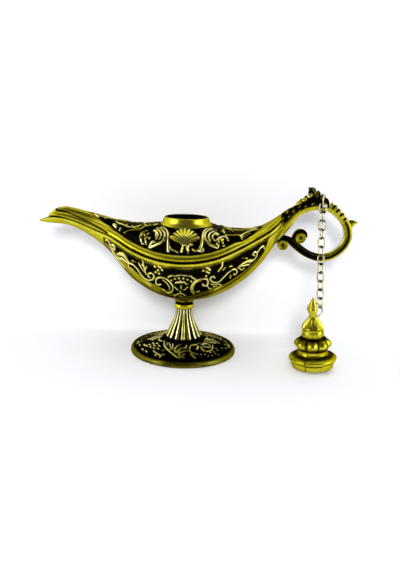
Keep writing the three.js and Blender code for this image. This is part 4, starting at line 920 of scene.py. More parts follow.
def patina_material(finish: PatinaFinish) -> bpy.types.Material:
    """Makes the patinated brass, led by each point's polish.

    Args:
        finish: The colours and grain.

    Returns:
        The material.
    """
    material, tree, shader = new_material(finish.name)
    place = add_node(tree, "ShaderNodeTexCoord").outputs["Object"]
    polish = add_node(tree, "ShaderNodeAttribute", {"attribute_name": "polish"}).outputs["Fac"]
    grit = add_node(tree, "ShaderNodeTexNoise", Vector=place, Scale=1 / (finish.grit_mm * MM), Detail=3.0,
                    Roughness=0.65)
    streak = add_node(tree, "ShaderNodeTexNoise", Vector=place, Scale=1 / (finish.streak_mm * MM), Detail=2.0)
    gritty, streaky = (
        add_node(tree, "ShaderNodeMath", {"operation": "MULTIPLY_ADD"}, n0=noise.outputs["Fac"], n1=2 * share,
                 n2=-share) for noise, share in ((grit, finish.grit_share), (streak, finish.streak_share)))
    both = add_node(tree, "ShaderNodeMath", {"operation": "ADD"}, n0=gritty.outputs[0], n1=streaky.outputs[0])
    worn_and_shaded = add_node(tree, "ShaderNodeMath", {"operation": "ADD", "use_clamp": True}, n0=polish,
                    n1=both.outputs[0])
    colour = add_node(tree, "ShaderNodeValToRGB", Fac=worn_and_shaded.outputs[0])
    set_ramp(colour, list(zip(finish.stops, (finish.black, finish.black, finish.dark, finish.brass,
                                             finish.bright, finish.cream))))
    rough = add_node(tree, "ShaderNodeMapRange", Value=worn_and_shaded.outputs[0], To_Min=finish.black_rough,
                     To_Max=finish.bright_rough)
    bump = add_node(tree, "ShaderNodeBump", Strength=0.5, Distance=finish.bump_mm * MM,
                    Height=grit.outputs["Fac"])
    tree.links.new(colour.outputs["Color"], shader.inputs["Base Color"])
    tree.links.new(rough.outputs["Result"], shader.inputs["Roughness"])
    tree.links.new(bump.outputs["Normal"], shader.inputs["Normal"])
    shader.inputs["Metallic"].default_value = 1.0
    shader.inputs["Specular Tint"].default_value = linear(finish.tint)
    return material


def wire_material(finish: WireFinish) -> bpy.types.Material:
    """Makes the chain's plated wire, or the plain screw's zinc."""
    material, tree, shader = new_material(finish.name)
    place = add_node(tree, "ShaderNodeTexCoord").outputs["Object"]
    # The link ends are darkened: rub wear, and painted shade where links overlap.
    rub_wear_and_shade = add_node(tree, "ShaderNodeAttribute", {"attribute_name": "rub_wear_and_shade"}).outputs["Fac"]
    mottle = add_node(tree, "ShaderNodeTexNoise", Vector=place, Scale=1 / (finish.mottle_mm * MM), Detail=2.0)
    clean = add_node(tree, "ShaderNodeMath", {"operation": "SUBTRACT", "use_clamp": True},
                     n0=mottle.outputs["Fac"], n1=rub_wear_and_shade).outputs[0]
    colour = add_node(tree, "ShaderNodeValToRGB", Fac=clean)
    set_ramp(colour, [(0.0, finish.worn_and_shaded), (0.3, finish.dull), (0.55, finish.colour)])
    rough = add_node(tree, "ShaderNodeMapRange", Value=clean, To_Min=finish.rough + 0.15, To_Max=finish.rough)
    tree.links.new(colour.outputs["Color"], shader.inputs["Base Color"])
    tree.links.new(rough.outputs["Result"], shader.inputs["Roughness"])
    shader.inputs["Metallic"].default_value = 1.0
    return material


def dress(piece: bpy.types.Object, material: bpy.types.Material, body: str, slot: Slot, *nodes: str) -> None:
    """Gives a piece its finish and its body, and hides the solids that it stands for."""
    piece.data.materials.clear()
    piece.data.materials.append(material)
    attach(piece, body)
    if nodes:
        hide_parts(*nodes)
    LOG.info("%s: %d faces on %s", piece.name, len(piece.data.polygons), body)


@dataclass
class Bowl:
    """The lower shell: belly with raised scrolls, bright rim band, keel strip and spout lip."""

    hull: Hull
    rows: int = 350
    columns: int = 214
    inner_columns: int = 16
    relief: float = 0.5
    band_width: float = 1.6
    band_rise: float = 0.22
    band_glow: float = 4.2
    # Painted shade along the bowl's edge at the seam, in the gap between the shells: its width, and how much
    # it widens along the bowl.
    seam_painted_shade: float = 0.2
    seam_shade_widens: float = 0.35
    dot_spacing: tuple[float, float] = (0.9, 1.0)
    dot_rise: float = 0.14
    plain_rise: float = 0.2
    tail_depth: float = 0.25
    panel_ends: tuple[float, float] = (-40.3, 41.5)
    # Half angle of the plain strip along the keel, in degrees, at places along the lamp.
    keel_strip: tuple = ((-42, 40), (-33, 31), (-21, 28), (0, 31), (14, 37), (28, 42), (36, 47), (39, 56),
                         (41.5, 88))
    # Half angle at which the stippled band above that strip ends.
    stipple_end: tuple = ((-42, 60), (-33, 56), (-25, 58), (-21, 54), (-9, 48), (0, 37), (8, 46), (16, 47),
                          (28, 49), (36, 52), (39, 60), (41.5, 90))
    tail_groove: tuple = (47.7, 70.9, 47.2, 68.7, 45.7, 66.4, 43.4, 64.7, 41.0, 63.2, 38.6, 62.0)

    def section(self, station: np.ndarray, columns: int) -> np.ndarray:
        """The outer belly's section as rows of (y, z), from the front edge to the back edge."""
        half, keel, seam, _, _ = station
        turn = np.linspace(-math.pi / 2, math.pi / 2, 240)
        line = np.stack([half * np.sin(turn), seam - (seam - keel) * np.cos(turn)], axis=1)
        return even_line(line, columns)

    def build(self) -> bpy.types.Object:
        """Shapes the shell.

        Returns:
            The lower shell's piece.
        """
        s = self.hull.sizes
        places = np.linspace(-s.spout_reach, s.tail_reach, self.rows)
        stations = self.hull.at(places)
        stations[:, 0] = np.maximum(stations[:, 0], THINNEST)
        outer = np.array([np.column_stack([np.full(self.columns, x), self.section(row, self.columns)])
                          for x, row in zip(places, stations)])
        normal = -skin_normals(outer)
        ornament, tail_line = Ornament(), Ornament()
        ornament.add(ornament_rows(BELLY_LINES, BELLY_BEADS), self.hull.belly_place)
        tail_line.add(ornament_rows((((0.5, 0.3, 1.0), self.tail_groove),)), self.hull.belly_place)
        half, keel, seam = (stations[:, i][:, None] for i in (0, 1, 2))
        x, y, z = outer[..., 0], np.abs(outer[..., 1]), outer[..., 2]
        depth = seam - keel
        from_keel = np.degrees(np.arctan2(y / half, (seam - z) / depth))
        from_seam = edge_distance(outer)
        radius = (half + depth) / 2
        past_strip = np.radians(from_keel - np.interp(x, *zip(*self.keel_strip))) * radius
        past_stipple = np.radians(from_keel - np.interp(x, *zip(*self.stipple_end))) * radius
        band = np.minimum(self.band_width, depth * 0.3)
        on_band = smooth_step(0.35, 0.0, from_seam - band)
        near_band = smooth_step(self.band_glow, 0.0, from_seam - band)
        start, end = self.panel_ends
        inside = smooth_step(start - 0.5, start + 0.5, x) * smooth_step(end + 0.5, end - 0.5, x)
        ground = inside * smooth_step(-0.15, 0.15, past_strip) * (1 - on_band)
        # Painted shade along the seam between the shells, wider along the bowl than at the spout; the groove
        # also holds the keel strip's dark line.
        seam_painted_shade = self.seam_painted_shade + self.seam_shade_widens * smooth_step(*SPOUT_BLEND, x)
        groove = inside * np.exp(-(past_strip / 0.3) ** 2) + np.exp(-(from_seam / seam_painted_shade) ** 2)
        # Rows of dots that stagger along the strip, and a ragged edge to the rubbed band above them.
        stipple = inside * smooth_step(0.25, 0.5, past_strip) * smooth_step(0.35, -0.35, past_stipple)
        stipple = stipple * (1 - on_band)
        along, across = self.dot_spacing
        dots = (0.5 + 0.5 * np.cos(x * math.tau / along)) * (
            0.5 + 0.5 * np.cos(past_strip * math.tau / across - 1.5))
        ragged = 0.5 + 0.25 * np.cos(x * math.tau / 1.1) + 0.25 * np.cos(x * math.tau / 0.63 + z * 4)
        raised = ornament.share_on(outer) * ground
        tail = tail_line.share_on(outer, 0.2)
        swell = self.relief * raised + self.band_rise * on_band * smooth_step(0.0, 0.5, from_seam + 0.2)
        swell = swell + self.plain_rise * (1 - ground) * (1 - on_band)
        swell = swell + self.dot_rise * stipple * dots - self.tail_depth * tail
        swell = swell * smooth_step(0.3, 3.0, half)
        polish = PLAIN_POLISH * (1 - ground) + 0.08 * on_band
        polish = np.maximum(polish, (0.4 + 0.22 * ragged) * near_band * ground)
        polish = np.maximum(polish, ornament.shine(raised))
        polish = np.maximum(polish, stipple * (0.42 + 0.55 * dots))
        polish = np.maximum(polish, 0.12) * (1 - 0.9 * np.clip(groove, 0, 1)) * (1 - 0.95 * tail)
        outer = outer + normal * swell[..., None]
        return lay_shell("bowl_shell", outer, self.inner(places, stations), polish)

    def inner(self, places: np.ndarray, stations: np.ndarray) -> np.ndarray:
        """The inside surface, from the back edge to the front edge."""
        half, keel, seam, _, hollow = stations.T
        wall = np.minimum(self.hull.sizes.cast_wall, half / 3)
        depth = np.maximum(hollow, 0.0) * np.maximum(seam - keel - wall, 0.0)
        return inside_skin(places, half - wall, seam, -depth, self.inner_columns)


@dataclass
class Cover:
    """The upper shell: smooth rim moulding, ornamented dome, spout hood and the tongue at the tail."""

    hull: Hull
    rows: int = 340
    columns: int = 236
    inner_columns: int = 14
    relief: float = 0.55
    mouth_gap: float = 0.4
    mouth: tuple[float, float] = (-58.0, -69.0)
    hood_start: float = -68.617
    lip_painted_shade: float = 0.2
    # Painted shade along the cover's edge at the seam, in the gap between the shells: its width, and how much
    # it widens along the bowl.
    lip_shade_widens: float = 0.4
    groove_depth: float = 0.45
    edge_depth: float = 0.2
    plain_rise: float = 0.12
    hole: tuple[float, float] = (60.0, 80.0)
    hole_play: float = 0.5
    hole_sides: int = 128
    groove_path: tuple = (-65.2, 72.8, -64.7, 72.6, -64.2, 72.4, -63.0, 72.1, -61.0, 71.7, -57.8, 70.8,
                          -55.1, 69.9, -52.1, 68.8, -49.2, 67.6, -46.2, 66.3, -43.3, 65.1, -40.2, 63.7,
                          -38.4, 62.7)

    def lift(self, places: np.ndarray | float) -> np.ndarray:
        """Gap between the seam and the cover's edge, wider at the spout's mouth."""
        return self.hull.sizes.fit_gap + self.mouth_gap * smooth_step(*self.mouth, places)

    def build(self) -> bpy.types.Object:
        """Shapes the cover and cuts the neck's hole.

        Returns:
            The upper shell's piece.
        """
        s = self.hull.sizes
        places = np.linspace(self.hood_start, self.hull.nose[-1][0], self.rows)
        stations = self.hull.at(places, on_cover=True)
        outer, share = [], []
        last_rim = self.hull.rim_points - 1
        for x, row in zip(places, stations):
            outline = self.hull.cover_outline(row, float(self.lift(x)))
            line = even_line(np.vstack([outline * (-1, 1), outline[::-1][1:]]), self.columns)
            base = outline[last_rim, 1]
            share.append(np.clip((line[:, 1] - base) / max(row[3] - base, THINNEST), -1, 1))
            outer.append(np.column_stack([np.full(self.columns, x), line]))
        outer, share = np.array(outer), np.array(share)
        normal = skin_normals(outer)
        x = outer[..., 0]
        ornament, groove = Ornament(), Ornament()
        ornament.add(ornament_rows(DOME_LINES, DOME_BEADS) + fan_rows(), self.hull.dome_place)
        groove.add(ornament_rows((((0.8, 0.6, 1.0), self.groove_path),)), self.hull.dome_place)
        # The dark dome narrows to the ridge at both ends.
        start = smooth_step(-33.0, -50.8, x) * 1.05 + smooth_step(27.0, 39.5, x) * 1.05
        ground = smooth_step(start - 0.02, start + 0.05, share)
        raised = ornament.share_on(outer) * ground
        edge_line = np.exp(-(((share - start) / 0.03) ** 2))
        edge_line = edge_line * smooth_step(-51.5, -49.0, x) * smooth_step(40, 38, x)
        groove_cut = groove.share_on(outer, 0.25)
        # Painted shade along the cover's lower edge, where it meets the bowl.
        lip_painted_shade = self.lip_painted_shade + self.lip_shade_widens * smooth_step(*SPOUT_BLEND, x)
        lip = np.exp(-((edge_distance(outer) / lip_painted_shade) ** 2))
        swell = self.relief * raised - self.groove_depth * groove_cut - self.edge_depth * edge_line
        swell = swell + self.plain_rise * (1 - ground)
        swell = swell * smooth_step(0.2, 2.0, stations[:, 0])[:, None]
        polish = np.maximum(PLAIN_POLISH * (1 - ground), ornament.shine(raised))
        polish = np.maximum(polish, 0.1)
        # Painted shade on the upper part of the hood's front end.
        hood_nose_painted_shade = smooth_step(-66.4, -68.4, x) * smooth_step(0.3, 0.6, share)
        polish = polish * (1 - 0.97 * groove_cut) * (1 - 0.8 * edge_line) * (1 - 0.9 * lip)
        polish = polish * (1 - 0.6 * hood_nose_painted_shade)
        outer = outer + normal * swell[..., None]
        piece = lay_shell("cover_shell", outer, self.inner(places, stations), polish)
        low, high = self.hole
        cut_round_hole(piece, (0, 0, (low + high) / 2), s.neck_bore + self.hole_play, high - low,
                       self.hole_sides)
        return piece

    def inner(self, places: np.ndarray, stations: np.ndarray) -> np.ndarray:
        """The inside surface, from the back edge to the front edge."""
        half, _, seam, ridge, hollow = stations.T
        wall = np.minimum(self.hull.sizes.cast_wall, np.maximum(half, THINNEST) / 3)
        lift = self.lift(places)
        depth = np.maximum(hollow, 0.0) * np.maximum(ridge - seam - lift - wall, 0.0)
        return inside_skin(places, half - wall, seam + lift, depth, self.inner_columns)


@dataclass
class Neck:
    """The turned neck that the lid plugs, with a small scalloped ring at its foot."""

    sizes: LampSizes
    height: float = 4.6
    foot_radius: float = 14.2
    scallops: int = 28
    scallop_depth: float = 0.28
    soften: float = 0.7
    steps: int = 168
    polish: float = 0.7

    def build(self) -> bpy.types.Object:
        """Turns the neck.

        Returns:
            The neck's piece.
        """
        s = self.sizes
        foot = s.neck_rim - self.height
        outer = s.neck_bore + s.neck_lip
        corners = [
            (s.neck_bore, foot - 2.6), (self.foot_radius - 1.4, foot - 2.6),
            (self.foot_radius - 0.3, foot - 2.1), (self.foot_radius, foot - 1.4),
            (self.foot_radius - 0.35, foot - 0.7),
            (self.foot_radius - 0.8, foot - 0.35), (self.foot_radius - 0.75, foot + 0.25),
            (self.foot_radius - 1.25, foot + 0.75),
            (outer + 0.95, foot + 2.2), (outer + 0.35, foot + 3.9), (outer + 0.18, s.neck_rim - 0.25),
            (outer - 0.12, s.neck_rim), (s.neck_bore + 0.18, s.neck_rim), (s.neck_bore, s.neck_rim - 0.2),
            (s.neck_bore, foot - 2.6),
        ]
        piece = turn_profile("neck", rounded_profile(corners, self.soften), self.steps)
        points = get_points(piece)
        turn = np.arctan2(points[:, 1], points[:, 0])
        radius = np.hypot(points[:, 0], points[:, 1])
        on_ring = smooth_step(foot + 0.1, foot - 0.6, points[:, 2])
        on_ring = on_ring * smooth_step(outer + 0.8, outer + 1.6, radius)
        wave = 0.5 + 0.5 * np.cos(turn * self.scallops)
        grown = radius + self.scallop_depth * on_ring * (wave - 0.5)
        points[:, :2] *= (grown / np.maximum(radius, 1e-9))[:, None]
        set_points(piece, points)
        inside = radius < s.neck_bore + 0.1
        # The bore is black: painted shade inside the neck.
        polish = np.where(inside, INSIDE_SHADE_POLISH, self.polish - 0.06 * on_ring)
        crease = np.exp(-((points[:, 2] - foot + 0.3) / 0.4) ** 2) * (radius > outer + 1.0)
        dashes = smooth_step(0.35, 0.75, 0.5 + 0.5 * np.cos(turn * self.scallops / 2))
        give_values(piece, "polish", polish * (1 - crease * (0.3 + 0.65 * dashes)))
        return piece


@dataclass
class Handle:
    """The scroll handle: root, ribbed loop with grooved sides, curl, discs, spur, crest and eyelet."""

    sizes: LampSizes
    half_width: float = 1.8
    thickness: float = 3.55
    disc_proud: float = 0.35
    eyelet_share: tuple[float, float] = (0.541, 1.16)
    eyelet_height: float = 2.6
    web_rise: float = 2.4
    web_reach: float = 2.85
    web_half_width: float = 0.8
    web_sink: float = 0.35
    rib_count: float = 4.0
    corner_power: float = 0.62
    curl_groove: float = 0.3
    # Sections along each strap and points round it.
    loop_grid: tuple[int, int] = (420, 64)
    curl_grid: tuple[int, int] = (90, 40)
    spur_grid: tuple[int, int] = (40, 32)
    leaf_grid: tuple[int, int] = (60, 36)
    # Points of the loop as shares of length and rise.
    field_end: tuple[float, float] = (0.5, 1.18)
    rib_start: tuple[float, float] = (0.62, 1.166)
    rib_end: tuple[float, float] = (0.84, 1.0)
    arm_start: tuple[float, float] = (0.6, 0.565)
    disc_soften: float = 0.35
    disc_steps: int = 56
    # Scroll discs: name, share of length, share of rise, radius and the centre's polish.
    discs: tuple = (("scroll_disc_upper", 0.258, 0.792, 2.75, 0.56),
                    ("scroll_disc_lower", 0.03, 0.698, 2.6, 0.5))

    def line(self, table: tuple, count: int) -> tuple[np.ndarray, np.ndarray]:
        """A centre line in millimetres with its thickness and width.

        Args:
            table: Rows of shares.
            count: How many points the line has.

        Returns:
            Points of (x, z), and rows of (thick, wide).
        """
        rows = np.array([(self.sizes.along_handle(x), self.sizes.up_body(z), t, w) for x, z, t, w in table])
        gaps = np.sqrt(np.linalg.norm(np.diff(rows[:, :2], axis=0), axis=1))
        knots = np.concatenate([[0.0], np.cumsum(gaps)])
        made = fair_curve(knots, rows, np.linspace(0, knots[-1], count))
        return made[:, :2], made[:, 2:]

    def sweep(self, table: tuple, rows: int, columns: int, groove: float = 0.0) -> tuple:
        """Sweeps a rounded strap with grooved sides along a line.

        Args:
            table: Rows of shares.
            rows: Sections along the strap.
            columns: Points round each section.
            groove: Depth of the groove in each side.

        Returns:
            The skin, how far inward each point sits across the strap, and each row's share of length.
        """
        line, sizes = self.line(table, rows)
        tangent = np.gradient(line, axis=0)
        tangent /= np.linalg.norm(tangent, axis=1, keepdims=True)
        across = np.stack([tangent[:, 1], -tangent[:, 0]], axis=1)
        turn = np.linspace(0, math.tau, columns + 1)
        a, b = (np.sign(wave) * np.abs(wave) ** self.corner_power for wave in (np.cos(turn), np.sin(turn)))
        tall = sizes[:, :1] * self.thickness / 2
        deep = sizes[:, 1:] * self.half_width
        dent = groove * smooth_step(0.62, 0.3, np.abs(a)) * np.sign(b)
        skin = np.empty((rows, columns + 1, 3))
        skin[..., 0] = line[:, :1] + across[:, :1] * a * tall
        skin[..., 2] = line[:, 1:] + across[:, 1:] * a * tall
        share = np.linspace(0, 1, rows)[:, None]
        skin[..., 1] = b * deep - dent * np.minimum(deep / self.half_width, 1)
        return skin, np.broadcast_to(a, (rows, columns + 1)), np.broadcast_to(share, (rows, columns + 1))

    def loop(self) -> bpy.types.Object:
        """Shapes the root and the loop.

        Returns:
            The loop's piece.
        """
        skin, a, share = self.sweep(LOOP_SHARES, *self.loop_grid)
        x, y, z = skin[..., 0], skin[..., 1], skin[..., 2]
        eye_x = self.sizes.along_handle(self.eyelet_share[0])
        floor = self.sizes.up_body(self.eyelet_share[1]) - self.web_sink
        away = np.maximum(np.abs(x - eye_x) - self.web_reach, 0)
        rise = (share > 0.2) & (share < 0.45)
        limit = np.where(rise & (z > floor - 6), floor + away * 3.0, np.inf)
        z = np.minimum(z, limit)
        # A plain inner strip and a worked field up to the eyelet, ribs past it, then grooved sides.
        line, _ = self.line(LOOP_SHARES, skin.shape[0])

        def row_near(spot: tuple[float, float]) -> float:
            """Share of the loop's length nearest to a point."""
            point = np.array((self.sizes.along_handle(spot[0]), self.sizes.up_body(spot[1])))
            return float(np.argmin(np.linalg.norm(line - point, axis=1))) / (len(line) - 1)

        field_end, rib_start = row_near(self.field_end), row_near(self.rib_start)
        rib_end, arm_start = row_near(self.rib_end), row_near(self.arm_start)
        on_loop = smooth_step(rib_end - 0.02, rib_end + 0.02, share)
        side = smooth_step(0.55, 0.85, np.abs(y) / self.half_width) * np.sign(y)
        groove = np.exp(-(((a + 0.1) / 0.24) ** 2)) * on_loop
        y = y - 0.5 * side * groove
        ribs = smooth_step(rib_start - 0.005, rib_start + 0.005, share)
        ribs = ribs * smooth_step(rib_end, rib_end - 0.01, share)
        rib = 0.5 + 0.5 * np.cos((share - rib_start) / (rib_end - rib_start) * math.tau * self.rib_count)
        outward = smooth_step(0.25, -0.2, a)
        away_x, away_z = x - line[:, :1], z - line[:, 1:]
        size = np.maximum(np.hypot(away_x, away_z), 1e-6)
        bump = 0.55 * ribs * smooth_step(0.2, -0.5, a) * (rib - 0.5)
        x, z = x + away_x / size * bump, z + away_z / size * bump
        field = smooth_step(field_end + 0.01, field_end - 0.01, share) * smooth_step(0.1, -0.05, a)
        run = share / field_end
        marks = (0.5 + 0.5 * np.cos(run * 60 + a * 3)) * (0.5 + 0.5 * np.cos(a * 11 + run * 20))
        worked = field * marks**2
        y = y + 0.2 * np.sign(y) * worked
        skin = np.stack([x, y, z], axis=-1)
        inner_edge = smooth_step(0.7, 0.88, a) * smooth_step(arm_start, arm_start - 0.05, share)
        polish = 0.62 - 0.14 * on_loop * smooth_step(0.0, 0.3, a) + 0.4 * inner_edge
        polish = polish * (1 - 0.97 * groove)
        polish = polish * (1 - field) + field * (0.26 + 0.5 * worked)
        strip_top = np.exp(-(((a - 0.08) / 0.07) ** 2)) * smooth_step(field_end + 0.03, field_end, share)
        polish = polish * (1 - 0.7 * strip_top)
        gaps = ribs * outward * smooth_step(0.42, 0.14, rib)
        polish = polish * (1 - 0.95 * gaps) + 0.26 * ribs * outward * rib**2
        arm = smooth_step(arm_start, arm_start + 0.06, share)
        arm_line = np.exp(-(((a - 0.5) / 0.12) ** 2)) * smooth_step(1.0, 0.85, share)
        dark_arm = 0.1 + 0.42 * arm_line + 0.5 * smooth_step(-0.6, -0.85, a)
        polish = polish * (1 - arm) + arm * dark_arm
        return lay_skin("handle_loop", skin, polish)

    def curl(self) -> bpy.types.Object:
        """Shapes the curl that ends the lower arm."""
        skin, a, _ = self.sweep(CURL_SHARES, *self.curl_grid, self.curl_groove)
        polish = 0.12 + 0.42 * smooth_step(0.7, 0.95, np.abs(a))
        return lay_skin("handle_curl", skin, polish)

    def spur(self) -> bpy.types.Object:
        """Shapes the pointed spur at the back of the loop."""
        skin, a, _ = self.sweep(SPUR_SHARES, *self.spur_grid)
        return lay_skin("handle_spur", skin, 0.45 + 0.25 * smooth_step(-0.4, 0.6, a))

    def crest(self) -> list[bpy.types.Object]:
        """Shapes the acanthus leaves on top of the handle, each with a raised midrib."""
        made = []
        for i, (bright, table) in enumerate(CREST_LEAVES):
            skin, a, share = self.sweep(table, *self.leaf_grid)
            ridge = smooth_step(0.35, 0.0, np.abs(a))
            lobes = 0.5 + 0.5 * np.cos(share * math.tau * 3)
            centre = skin.mean(axis=1, keepdims=True)
            grow = 1 + 0.14 * (lobes - 0.5) * smooth_step(0.5, 0.9, np.abs(a)) + 0.1 * ridge
            skin = centre + (skin - centre) * grow[..., None]
            # Rubbed wear with a painted highlight: each leaf is brighter towards one side.
            polish = bright * (0.7 + 0.3 * smooth_step(0.3, -0.6, a)) + 0.2 * ridge * lobes
            made.append(lay_skin(f"crest_leaf_{i + 1}", skin, polish))
        return made

    def eyelet(self) -> bpy.types.Object:
        """Shapes the lug that the chain's ring hangs from, out of a flattened ring."""
        eye_x = self.sizes.along_handle(self.eyelet_share[0])
        floor = self.sizes.up_body(self.eyelet_share[1])
        hole = self.eyelet_height / 2
        centre = np.array((eye_x, 0, floor + hole))
        half_rise = self.web_rise / 2
        start_piece()
        bpy.ops.mesh.primitive_torus_add(major_segments=64, minor_segments=24, location=to_frame(centre),
                                         major_radius=(hole + half_rise) * MM, minor_radius=half_rise * MM,
                                         rotation=(math.pi / 2, 0, 0))
        piece = named("handle_eyelet")
        bpy.ops.object.transform_apply(location=True, rotation=True, scale=True)
        points = get_points(piece) - centre
        points[:, 0] *= self.web_reach / (hole + self.web_rise)
        points[:, 1] *= self.web_half_width / half_rise
        set_points(piece, points + centre)
        give_values(piece, "polish", np.full(len(points), 0.3))
        close_and_smooth(piece, CREASE_DEGREES)
        return piece

    def disc(self, name: str, x_share: float, z_share: float, radius: float,
             centre_polish: float) -> bpy.types.Object:
        """Shapes a scroll's eye: a drum with a sunk face and a small boss.

        Args:
            name: The piece's name.
            x_share: Place along the handle.
            z_share: Place up the body.
            radius: The disc's radius.
            centre_polish: How bright the sunk face is.

        Returns:
            The disc's piece.
        """
        half = self.half_width + self.disc_proud
        corners = [(0, -half + 0.15), (radius * 0.3, -half + 0.2), (radius * 0.42, -half + 0.45),
                   (radius * 0.66, -half + 0.45), (radius * 0.78, -half), (radius * 0.94, -half + 0.1),
                   (radius, -half + 0.6)]
        profile = corners + [(r, -z) for r, z in reversed(corners)]
        piece = turn_profile(name, rounded_profile(profile, self.disc_soften), self.disc_steps)
        points = get_points(piece)
        radial = np.hypot(points[:, 0], points[:, 1])
        rim = smooth_step(radius * 0.62, radius * 0.8, radial)
        hub = smooth_step(radius * 0.45, radius * 0.3, radial)
        give_values(piece, "polish", centre_polish * (1 - 0.3 * hub) + (0.56 - centre_polish) * rim)
        turned = np.stack([points[:, 0], points[:, 2], -points[:, 1]], axis=1)
        set_points(piece, turned + (self.sizes.along_handle(x_share), 0, self.sizes.up_body(z_share)))
        return piece

    def build(self) -> list[bpy.types.Object]:
        """Shapes all of the handle.

        Returns:
            The handle's pieces, the loop first.
        """
        return [self.loop(), self.curl(), self.spur(), self.eyelet(), *self.crest(),
                *(self.disc(*row) for row in self.discs)]


@dataclass
class Pedestal:
    """The foot: a disc with raised foliage, a reeded stem, a hollow underside, collar and screw boss."""

    sizes: LampSizes
    foot_radius: float = 27.5
    rim_height: float = 2.6
    rim_width: float = 2.6
    dome_height: float = 6.8
    recess_height: float = 4.6
    stem_foot: float = 9.8
    stem_top: float = 4.1
    flutes: int = 16
    reed_foot: float = 8.6
    flute_depth: float = 0.13
    around: int = 480
    relief: float = 0.7
    widen: float = 1.5
    collar_radius: float = 5.1
    collar_waist: float = 4.5
    boss_radius: float = 4.6
    boss_height: float = 5.2
    soften: float = 0.4
    collar_steps: int = 96
    boss_steps: int = 48
    screw_seat: float = 14.0
    well_radius: float = 3.9

    def disc_height(self, radius: np.ndarray) -> np.ndarray:
        """Height of the foot's top at a distance from the axis."""
        inner = self.foot_radius - self.rim_width
        dome = self.dome_height - self.rim_height
        knots = np.array((0.0, self.stem_foot * 1.04, inner * 0.6, inner * 0.8, inner, inner + 0.3))
        heights = np.array((self.dome_height, self.dome_height - dome * 0.06, self.rim_height + dome * 0.66,
                            self.rim_height + dome * 0.34, self.rim_height - 0.25, self.rim_height - 0.25))
        return np.interp(radius, knots, heights)

    def rows(self) -> tuple[np.ndarray, np.ndarray]:
        """The profile from the foot's edge in, up the stem and down the hollow.

        Returns:
            Rows of (radius, height), and the zone of each row.
        """
        s = self.sizes
        inner = self.foot_radius - self.rim_width
        rise = s.pedestal_height - self.dome_height
        flare = self.stem_foot - self.stem_top
        rim = rounded_profile([
            (self.foot_radius - 0.8, 0), (self.foot_radius - 0.25, 0.25), (self.foot_radius, 0.8),
            (self.foot_radius - 0.15, self.rim_height * 0.7),
            (self.foot_radius - 0.75, self.rim_height + 0.1),
            (inner + 0.95, self.rim_height + 0.1), (inner + 0.62, self.rim_height - 0.45),
            (inner + 0.3, self.rim_height - 0.05), (inner, self.rim_height - 0.5)], self.soften)
        radii = np.linspace(inner - 0.25, self.stem_foot * 1.02, 50)
        disc = np.column_stack([radii, self.disc_height(radii)])
        knots = np.array((0.0, 0.02, 0.13, 0.38, 0.65, 0.82, 1.0))
        wide = np.array((1.0, 1.0, 0.88, 0.57, 0.2, 0.06, 0.0))
        up = np.linspace(0.0, 1.0, 46)
        stem_radius = self.stem_top + flare * fair_curve(knots, wide[:, None], up)[:, 0]
        stem = np.column_stack([stem_radius, self.dome_height - 0.25 + (rise + 0.25) * up])
        inside = [(s.screw_clearance, s.pedestal_height), (s.screw_clearance, self.screw_seat),
                  (self.well_radius, self.screw_seat), (self.well_radius, self.recess_height + rise * 0.2),
                  (self.stem_foot * 0.75, self.recess_height),
                  (self.foot_radius * 0.7, self.rim_height * 0.8),
                  (self.foot_radius - self.rim_width * 1.2, 0), (self.foot_radius - 0.8, 0)]
        parts = [np.array(rim), disc, stem, np.array(inside)]
        zones = np.concatenate([np.full(len(part), zone) for zone, part in zip(Zone, parts)])
        return np.vstack(parts), zones

    def build(self) -> bpy.types.Object:
        """Shapes the pedestal.

        Returns:
            The pedestal's piece.
        """
        profile, zones = self.rows()
        turn = np.linspace(0, math.tau, self.around + 1)
        radius = np.broadcast_to(profile[:, :1], (len(profile), len(turn))).copy()
        height = np.broadcast_to(profile[:, 1:], radius.shape).copy()
        stem = (zones == Zone.STEM)[:, None]
        reed = np.abs(np.cos(turn * self.flutes / 2)) ** 0.75
        top = smooth_step(self.sizes.pedestal_height, self.sizes.pedestal_height - 2.0, height)
        depth = self.flute_depth * (0.45 + 0.55 * top)
        radius = np.where(stem, radius * (1 - depth * (1 - reed)), radius)
        reed_end = smooth_step(self.reed_foot - 0.5, self.reed_foot + 0.3, height)
        swollen = smooth_step(self.reed_foot + 1.5, self.reed_foot, height)
        radius = radius + 0.35 * stem * reed * swollen * reed_end
        skin = np.stack([radius * np.cos(turn), radius * np.sin(turn), height], axis=-1)
        ornament = Ornament(self.widen)

        def on_disc(flat: np.ndarray) -> np.ndarray:
            """Places on the foot's top for rows of (along, across)."""
            return np.column_stack([flat, self.disc_height(np.hypot(flat[:, 0], flat[:, 1]))])

        lines = ornament_rows(DISC_LINES, DISC_BEADS)
        ornament.add(lines, on_disc)
        ornament.add([(a, b, c, *[(-x, -y) for x, y in points]) for a, b, c, *points in lines], on_disc)
        disc = zones == Zone.DISC
        raised = np.zeros(radius.shape)
        raised[disc] = ornament.share_at(skin[disc].reshape(-1, 3)).reshape(-1, len(turn))
        raised *= smooth_step(self.stem_foot + 1.0, self.stem_foot + 1.8, radius)
        skin[..., 2] += self.relief * raised
        polish = np.full(radius.shape, 0.08)
        polish = np.maximum(polish, ornament.shine(raised))
        groove = np.exp(-((radius - (self.foot_radius - self.rim_width + 0.62)) / 0.25) ** 2)
        polish = np.where((zones == Zone.RIM)[:, None], 0.5 - 0.45 * groove, polish)
        crest = 0.5 * smooth_step(0.35, 0.7, reed) + 0.36 * smooth_step(0.8, 0.97, reed)
        polish = np.where(stem, 0.1 + crest * reed_end, polish)
        polish = np.where((zones == Zone.INSIDE)[:, None], 0.35, polish)
        return lay_skin("pedestal_foot", *(np.concatenate([part, part[:1]]) for part in (skin, polish)))

